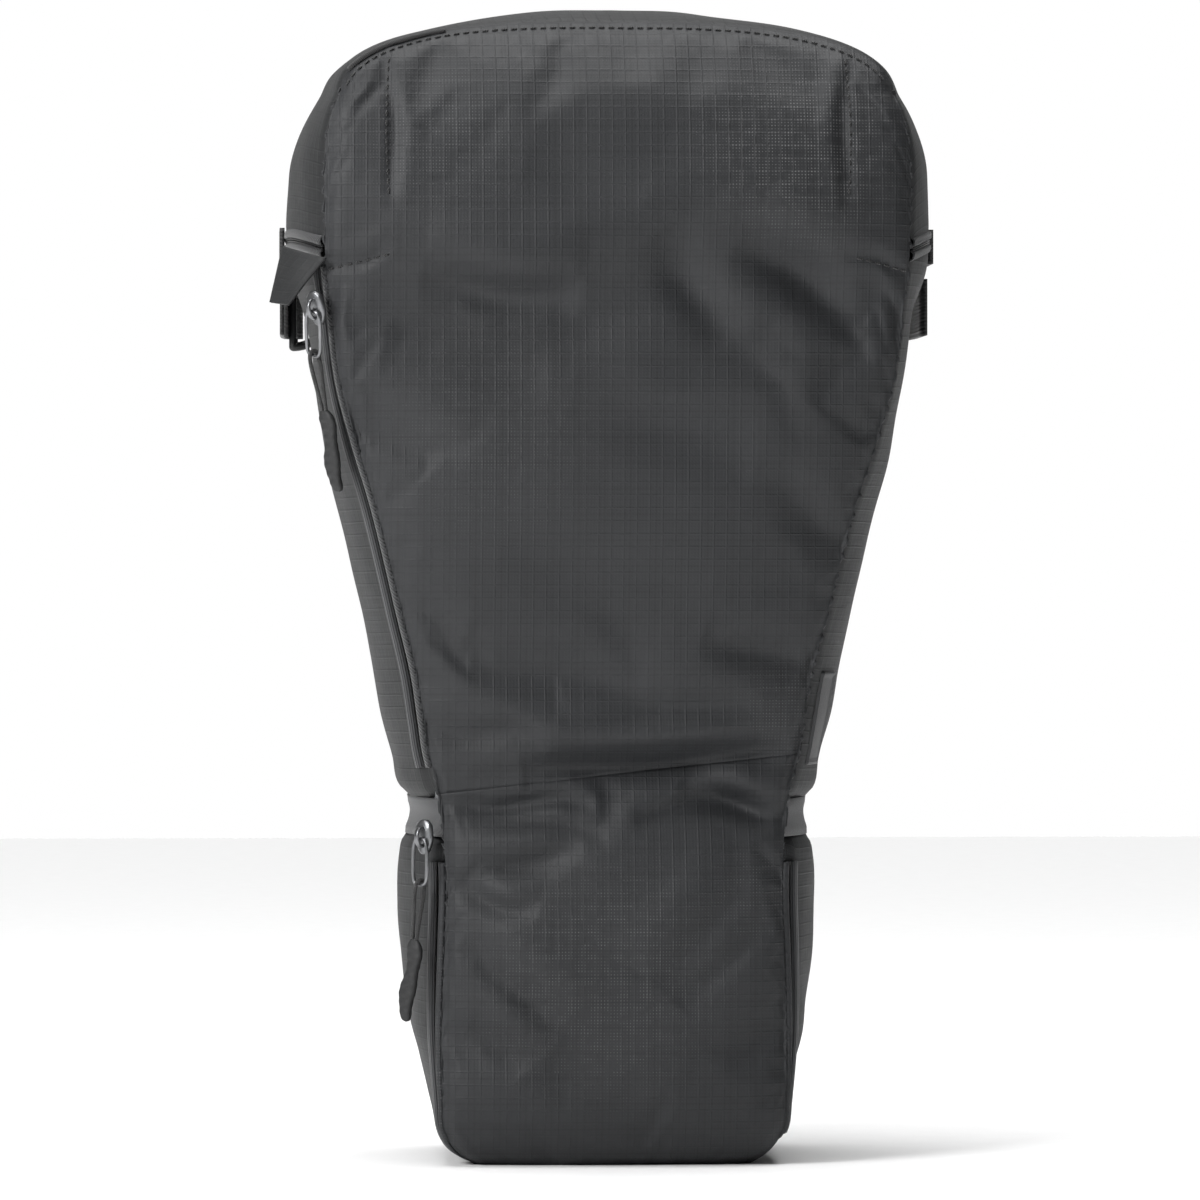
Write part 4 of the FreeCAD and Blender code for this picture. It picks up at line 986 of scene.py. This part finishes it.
def put(points, place):
    return place[0] + np.asarray(points, float) @ place[1]


class LENSBAG_OT_pulls(bpy.types.Operator):
    """Zip pulls: slider, wire bail, looped cord and moulded grip of the side, lower and lid zips"""
    bl_idname = "lensbag.pulls"
    bl_label = "Zip pulls"

    def execute(self, context):
        for prefix in ("side", "lower", "lid"):
            slider, bail, pull = pull_frames(prefix)
            self.slider(prefix, slider)
            self.bail(prefix, bail)
            grip = self.grip(prefix, pull)
            self.cord(prefix, pull, grip)
        return {"FINISHED"}

    def slider(self, prefix, place):
        """A tapered, rounded plate, its outline scaled at each level, with an arched bridge on it."""
        turn = np.linspace(0, 2 * np.pi, 48, endpoint=False)
        c, s = np.cos(turn), np.sin(turn)
        y = 7.5 * np.sign(s) * np.abs(s) ** 0.7
        x = np.sign(c) * np.abs(c) ** 0.7 * np.interp(y, [-7.5, -1.5, 5.25, 7.5], [3.0, 4.5, 4.5, 3.4])
        levels = np.array([[1.2, 0], [1.2, 0.9], [1.6, 1], [3.2, 1], [3.75, 0.9], [3.85, 0]])
        rings = np.stack([x[None] * levels[:, 1:], y[None] * levels[:, 1:],
                          np.broadcast_to(levels[:, :1], (6, 48))], -1)
        flat = put(rings.reshape(-1, 3), place)
        body = mesh_object(f"{prefix}_zip_slider", flat, grid_faces(6, 48, True), flat[:, :2] * MM,
                           "painted_zinc")
        closed(body)
        turn = np.linspace(np.pi, 0, 25)
        arch = np.stack([0 * turn, 4.0 * np.cos(turn), 3.4 + 4.1 * np.sin(turn) ** 0.6], -1)
        along = np.gradient(arch, axis=0)
        along /= np.linalg.norm(along, axis=1, keepdims=True)
        side = np.broadcast_to([1.0, 0, 0], arch.shape)
        bridge = round_bar(f"{prefix}_zip_bridge", put(arch, place), side @ place[1],
                           np.cross(along, side) @ place[1], 1.1, 0.7, "painted_zinc", power=3.0)
        settle(body, f"{prefix}_slider", "slider_metal", f"{prefix}_slider")
        settle(bridge, f"{prefix}_slider", "slider_metal")

    def bail(self, prefix, place):
        """A wire loop: a rounded rectangle, a superellipse in plan, from the bridge down to the cord."""
        turn = np.linspace(0, 2 * np.pi, 72, endpoint=False)
        c, s = np.cos(turn), np.sin(turn)
        x = 4.0 * np.sign(c) * np.abs(c) ** 0.45
        y = -BAIL_DROP / 2 + BAIL_DROP / 2 * np.sign(s) * np.abs(s) ** 0.6
        loop = np.stack([x, y, 0 * x], -1)
        along = np.roll(loop, -1, 0) - np.roll(loop, 1, 0)
        along /= np.linalg.norm(along, axis=1, keepdims=True)
        up = np.broadcast_to([0, 0, 1.0], loop.shape)
        wire = round_bar(f"{prefix}_zip_bail", put(loop, place), np.cross(along, up) @ place[1], up @ place[1],
                         0.8, 0.8, "painted_zinc", loop=True)
        settle(wire, f"{prefix}_bail", "slider_metal", f"{prefix}_bail")

    def grip(self, prefix, place):
        """A moulded tab: rounded sections down its length whose width and middle both wave once."""
        t = np.linspace(0, 1, 60)
        y = -23.5 - 36.5 * t
        half = 4.3 * (0.84 + 0.14 * np.cos(2 * np.pi * 2 * (t - 0.12)))
        rounding = np.sqrt(np.clip(1 - (2 * t - 1) ** 8, 0, 1))
        middle = 1.1 * np.sin(2 * np.pi * t)
        path = np.stack([middle, y, 0 * t], -1)
        side = np.broadcast_to([1.0, 0, 0], path.shape) @ place[1]
        up = np.broadcast_to([0, 0, 1.0], path.shape) @ place[1]
        made = round_bar(f"{prefix}_pull_grip", put(path, place), side, up, half * rounding,
                         2.0 * rounding * (0.9 + 0.1 * np.cos(2 * np.pi * 9 * t)), "stippled_rubber", power=3.2)
        return settle(made, f"{prefix}_pull", "grip_rubber", f"{prefix}_grip")

    def cord(self, prefix, place, grip):
        """The cord's route as the control points of one NURBS line, from the grip round the bail and back."""
        route = put(CORD_ROUTE, place) * MM
        curve = bpy.data.curves.new(f"{prefix}_pull_cord", "CURVE")
        curve.dimensions = "3D"
        line = curve.splines.new("NURBS")
        line.points.add(len(route) - 1)
        line.points.foreach_set("co", np.column_stack([route, np.ones(len(route))]).ravel())
        line.order_u = 3
        line.use_endpoint_u = True
        line.resolution_u = 12
        curve.bevel_depth = CORD_DIAMETER / 2
        curve.bevel_resolution = 4
        curve.use_fill_caps = True
        curve.materials.append(MATERIALS["braided_cord"])
        cord = bpy.data.objects.new(f"{prefix}_pull_cord", curve)
        bpy.context.scene.collection.objects.link(cord)
        settle(cord, f"{prefix}_pull", "cord", f"{prefix}_cord")


def strap(name, path, width_axis, half_width, thick, material="nylon_webbing"):
    """A flat strap: a path swept across its width, as a closed band of the given thickness."""
    across = np.linspace(-half_width, half_width, 9)
    axis = np.asarray(width_axis, float)
    grid = path[:, None] + across[None, :, None] * axis
    along = np.gradient(grid, axis=0)
    up = np.cross(along, np.broadcast_to(axis, along.shape))
    up /= np.linalg.norm(up, axis=-1, keepdims=True)
    return between(name, grid + up * thick / 2, grid - up * thick / 2, material)


class LENSBAG_OT_straps(bpy.types.Operator):
    """Webbing loops with their rings, the lid's pull tabs, the side zip's hood and the plain patch"""
    bl_idname = "lensbag.straps"
    bl_label = "Straps and patch"

    def execute(self, context):
        for side, word in ((-1.0, "left"), (1.0, "right")):
            low, high = (np.array(corner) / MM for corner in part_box(f"{word}_strap_loop"))
            middle = (low[2] + high[2]) / 2
            ring_low, ring_high = (np.array(corner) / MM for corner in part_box(f"{word}_d_ring"))
            eye = np.array([side * 137.0, (ring_low[1] + ring_high[1]) / 2])
            turn = np.linspace(-0.2, 4.2, 26)
            around = np.stack([eye[0] + side * 3.4 * np.cos(turn), eye[1] + 3.4 * np.sin(turn)], -1)
            run_in = np.array([[side * 142.6, 20], [side * 142.4, 40], [side * 142.2, 58],
                               [side * 141.6, 70]])
            flat = np.concatenate([run_in, around])
            path = np.column_stack([flat, np.full(len(flat), middle)])
            loop = strap(f"{word}_ring_webbing", path, (0, 0, 1), 12.5, 1.8)
            settle(loop, "main_shell", "webbing", f"{word}_strap_loop")
            frame["nodes"][f"{word}_d_ring"].data.materials.clear()
            frame["nodes"][f"{word}_d_ring"].data.materials.append(MATERIALS["moulded_acetal"])
        for side, word in ((-1.0, "left"), (1.0, "right")):
            y = np.linspace(-4, 34, 20)
            path = np.column_stack([np.full(20, side * 142.6), y, np.full(20, 399.5)])
            settle(strap(f"{word}_lid_tab", path, (0, 0, 1), 7.5, 2.2), "lid", "webbing")
        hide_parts("lid_tabs")
        self.hood()
        self.patch()
        return {"FINISHED"}

    def hood(self):
        """A stiff fabric flap over the head of the side zip: a curved four-sided sheet."""
        corners = np.array([[-125, -94, 389.5], [-143, -68, 396], [-148.5, -72, 371.5], [-141, -84, 370]])
        u, w = np.meshgrid(np.linspace(0, 1, 24), np.linspace(0, 1, 18))
        u, w = u[..., None], w[..., None]
        grid = ((1 - u) * (1 - w) * corners[0] + u * (1 - w) * corners[1] + u * w * corners[2]
                + (1 - u) * w * corners[3])
        away = np.array([-0.6, -0.8, 0])
        grid = grid + away * 2.5 * np.sin(np.pi * u) * np.sin(np.pi * np.clip(w + 0.2, 0, 1))
        made = panel("side_zip_hood_flap", grid, "side_nylon_painted_shade", thick=1.2)
        settle(made, "main_shell", "shell_fabric", "side_zip_hood")

    def patch(self):
        """A plain sewn patch on the right wall: a strip with a raised border."""
        heights = np.linspace(172, 214, 40)
        offsets = np.linspace(9, 27, 18)
        v = np.linspace(-1, 1, 40)[:, None]
        h = np.linspace(-1, 1, 18)[None]
        border = np.maximum(np.abs(v), np.abs(h))
        lift = np.where(border > 0.97, -0.8, np.where(border > 0.86, 1.2, 0.7))
        grid = wall_strip(1.0, heights, offsets, np.zeros(18))
        made = panel("side_patch", grid + normals(grid) * lift[..., None], "moulded_patch", thick=0.8)
        settle(made, "main_shell", "patch", "label_patch")


def on_front(x, z, lift=0.4):
    """Points on the front fabric, lifted off it, and their normals."""
    step = 0.5
    y = front_y(x, z)
    slope_x = (front_y(x + step, z) - front_y(x - step, z)) / (2 * step)
    slope_z = (front_y(x, z + step) - front_y(x, z - step)) / (2 * step)
    up = np.stack([slope_x, -np.ones_like(slope_x), slope_z], -1)
    up /= np.linalg.norm(up, axis=-1, keepdims=True)
    return np.stack([x, y, z], -1) + up * lift, up


class LENSBAG_OT_seams(bpy.types.Operator):
    """Stitched seams: along the top arc and the darts beside it, and the piping at the top left"""
    bl_idname = "lensbag.seams"
    bl_label = "Stitched seams"

    def execute(self, context):
        pitch = context.scene.bag_sizes.stitch / MM
        share = spread(120) * 0.995
        drop = 3.2
        z = arc_top(share) - drop
        path, up = on_front(share * ARC_HALF * 0.985, z)
        settle(stitches("top_arc_stitches", path, up, pitch=pitch), "lid", "zip_tape")
        out = np.linspace(-0.97, -0.62, 40)
        path, up = on_front(out * ARC_HALF, arc_top(out) - 1.0, 0.6)
        along = np.gradient(path, axis=0)
        along /= np.linalg.norm(along, axis=1, keepdims=True)
        # The piping is drawn in the near-black thread, darker than the shell: it also stands for the shaded gap
        # under it, as painted shade.
        piping = round_bar("top_left_piping_and_shade", path, np.cross(along, up), up, 1.3, 0.9, "bonded_thread")
        settle(piping, "lid", "zip_tape")
        for side, word in ((-1, "left"), (1, "right")):
            t = np.linspace(0, 1, 40)
            x, z = side * (97.5 + 1.5 * np.sin(3 * t)), 476 - 63 * t
            path, up = on_front(x, z, 0.2)
            settle(stitches(f"{word}_upright_dart", path, up, pitch=pitch), "lid", "zip_tape")
            x, z = side * (124 - 27 * t), 384.5 + 6.5 * t
            path, up = on_front(x, z, 0.2)
            settle(stitches(f"{word}_level_dart", path, up, pitch=pitch), "main_shell", "zip_tape")
        return {"FINISHED"}


class LENSBAG_OT_stage(bpy.types.Operator):
    """Plain pale floor, soft studio light and the camera"""
    bl_idname = "lensbag.stage"
    bl_label = "Stage"

    def execute(self, context):
        scene = context.scene
        tree, principled = shader("matt_floor_paper")
        # Matt paper: pale, with a faint tooth of fibres.
        place = add(tree, "ShaderNodeTexCoord").outputs["Object"]
        fibres = add(tree, "ShaderNodeTexNoise", {"Vector": place, "Scale": 60.0, "Detail": 4.0}).outputs[0]
        shade = linear("#f4f4f4")
        mixed = add(tree, "ShaderNodeMixRGB", {0: fibres, 1: tuple(scene.bag_colours.floor), 2: shade})
        worn = add(tree, "ShaderNodeMapRange", {"Value": fibres, "To Min": 0.85, "To Max": 0.95})
        join(tree, principled, mixed.outputs[0], worn.outputs[0], fibres, 0.0001)
        t = np.linspace(-1, 1, 41)
        x, y = np.meshgrid(t * 4000, t * 4000)
        grid = np.stack([x, y, 0 * x], -1)
        floor = panel("floor", grid, "matt_floor_paper", thick=0, facing=np.array([0, 0, 1.0]))
        world = bpy.data.worlds.new("studio")
        world.use_nodes = True
        sky = world.node_tree.nodes["Background"]
        # A white wall behind and a soft box overhead. The rest is dim, so that the lamps model the cloth.
        room = world.node_tree
        sky.inputs["Color"].default_value = linear("#ffffff")
        around = add(room, "ShaderNodeTexCoord").outputs["Generated"]
        heading = add(room, "ShaderNodeSeparateXYZ", {0: around})
        behind = add(room, "ShaderNodeMapRange", {"Value": heading.outputs["Y"], "From Min": 0.8,
                                                  "From Max": 0.93, "To Min": 0.05, "To Max": 1.0}).outputs[0]
        above = add(room, "ShaderNodeMapRange", {"Value": heading.outputs["Z"], "From Min": 0.9,
                                                 "From Max": 0.99, "To Min": 0.0, "To Max": 8.5}).outputs[0]
        level = add(room, "ShaderNodeMath", {0: behind, 1: above}, operation="ADD")
        room.links.new(level.outputs[0], sky.inputs["Strength"])
        scene.world = world
        scene.view_settings.view_transform = "Standard"
        for name, place, size, power in (("key", (-1.05, -0.9, 0.95), 0.55, 24), ("top", (0.0, 0.3, 1.9), 1.4, 8),
                                         ("fill", (1.6, -1.8, 0.8), 1.2, 0.5)):
            lamp = bpy.data.lights.new(name, "AREA")
            lamp.size = size
            lamp.energy = power
            made = bpy.data.objects.new(name, lamp)
            scene.collection.objects.link(made)
            made.location = place
            made.rotation_euler = (Vector((0, 0, 0.25)) - Vector(place)).to_track_quat("-Z", "Y").to_euler()
        self.camera(scene)
        return {"FINISHED"}

    def camera(self, scene):
        """A long lens at mid height, a little to the left, whose view is as wide as the span it frames."""
        span, away, turn = 0.517, 3.0, np.radians(-3)
        aim = np.array([-0.003, 0.0, 0.244])
        place = aim + away * np.array([np.sin(turn), -np.cos(turn), 0.0])
        lens = bpy.data.cameras.new("camera")
        lens.sensor_width = 36
        lens.lens = 36 * (away - 0.06) / span
        camera = bpy.data.objects.new("camera", lens)
        scene.collection.objects.link(camera)
        camera.location = place
        camera.rotation_euler = (Vector(aim) - Vector(place)).to_track_quat("-Z", "Y").to_euler()
        scene.camera = camera


PIECES = (LENSBAG_OT_folds, LENSBAG_OT_front, LENSBAG_OT_body, LENSBAG_OT_lid, LENSBAG_OT_padding,
          LENSBAG_OT_zips,
          LENSBAG_OT_pulls, LENSBAG_OT_straps, LENSBAG_OT_seams, LENSBAG_OT_stage)


class LENSBAG_PT_panel(bpy.types.Panel):
    """Lists the bag's pieces"""
    bl_idname = "LENSBAG_PT_panel"
    bl_label = "Lens bag"
    bl_space_type = "VIEW_3D"
    bl_region_type = "UI"
    bl_category = "Lens bag"

    def draw(self, context):
        for piece in PIECES:
            self.layout.operator(piece.bl_idname)
        for name in ("cloth", "stitch", "tooth", "pad", "slack"):
            self.layout.prop(context.scene.bag_sizes, name)
        self.layout.prop(context.scene.bag_colours, "floor")


CLASSES = (BagSizes, BagColours, *PIECES, LENSBAG_PT_panel)


def register():
    for each in CLASSES:
        bpy.utils.register_class(each)
    bpy.types.Scene.bag_sizes = bpy.props.PointerProperty(type=BagSizes)
    bpy.types.Scene.bag_colours = bpy.props.PointerProperty(type=BagColours)


def unregister():
    del bpy.types.Scene.bag_colours
    del bpy.types.Scene.bag_sizes
    for each in reversed(CLASSES):
        bpy.utils.unregister_class(each)


def main():
    register()
    make_materials()
    for piece in PIECES:
        group, name = piece.bl_idname.split(".")
        getattr(getattr(bpy.ops, group), name)()


if __name__ == "__main__":
    main()
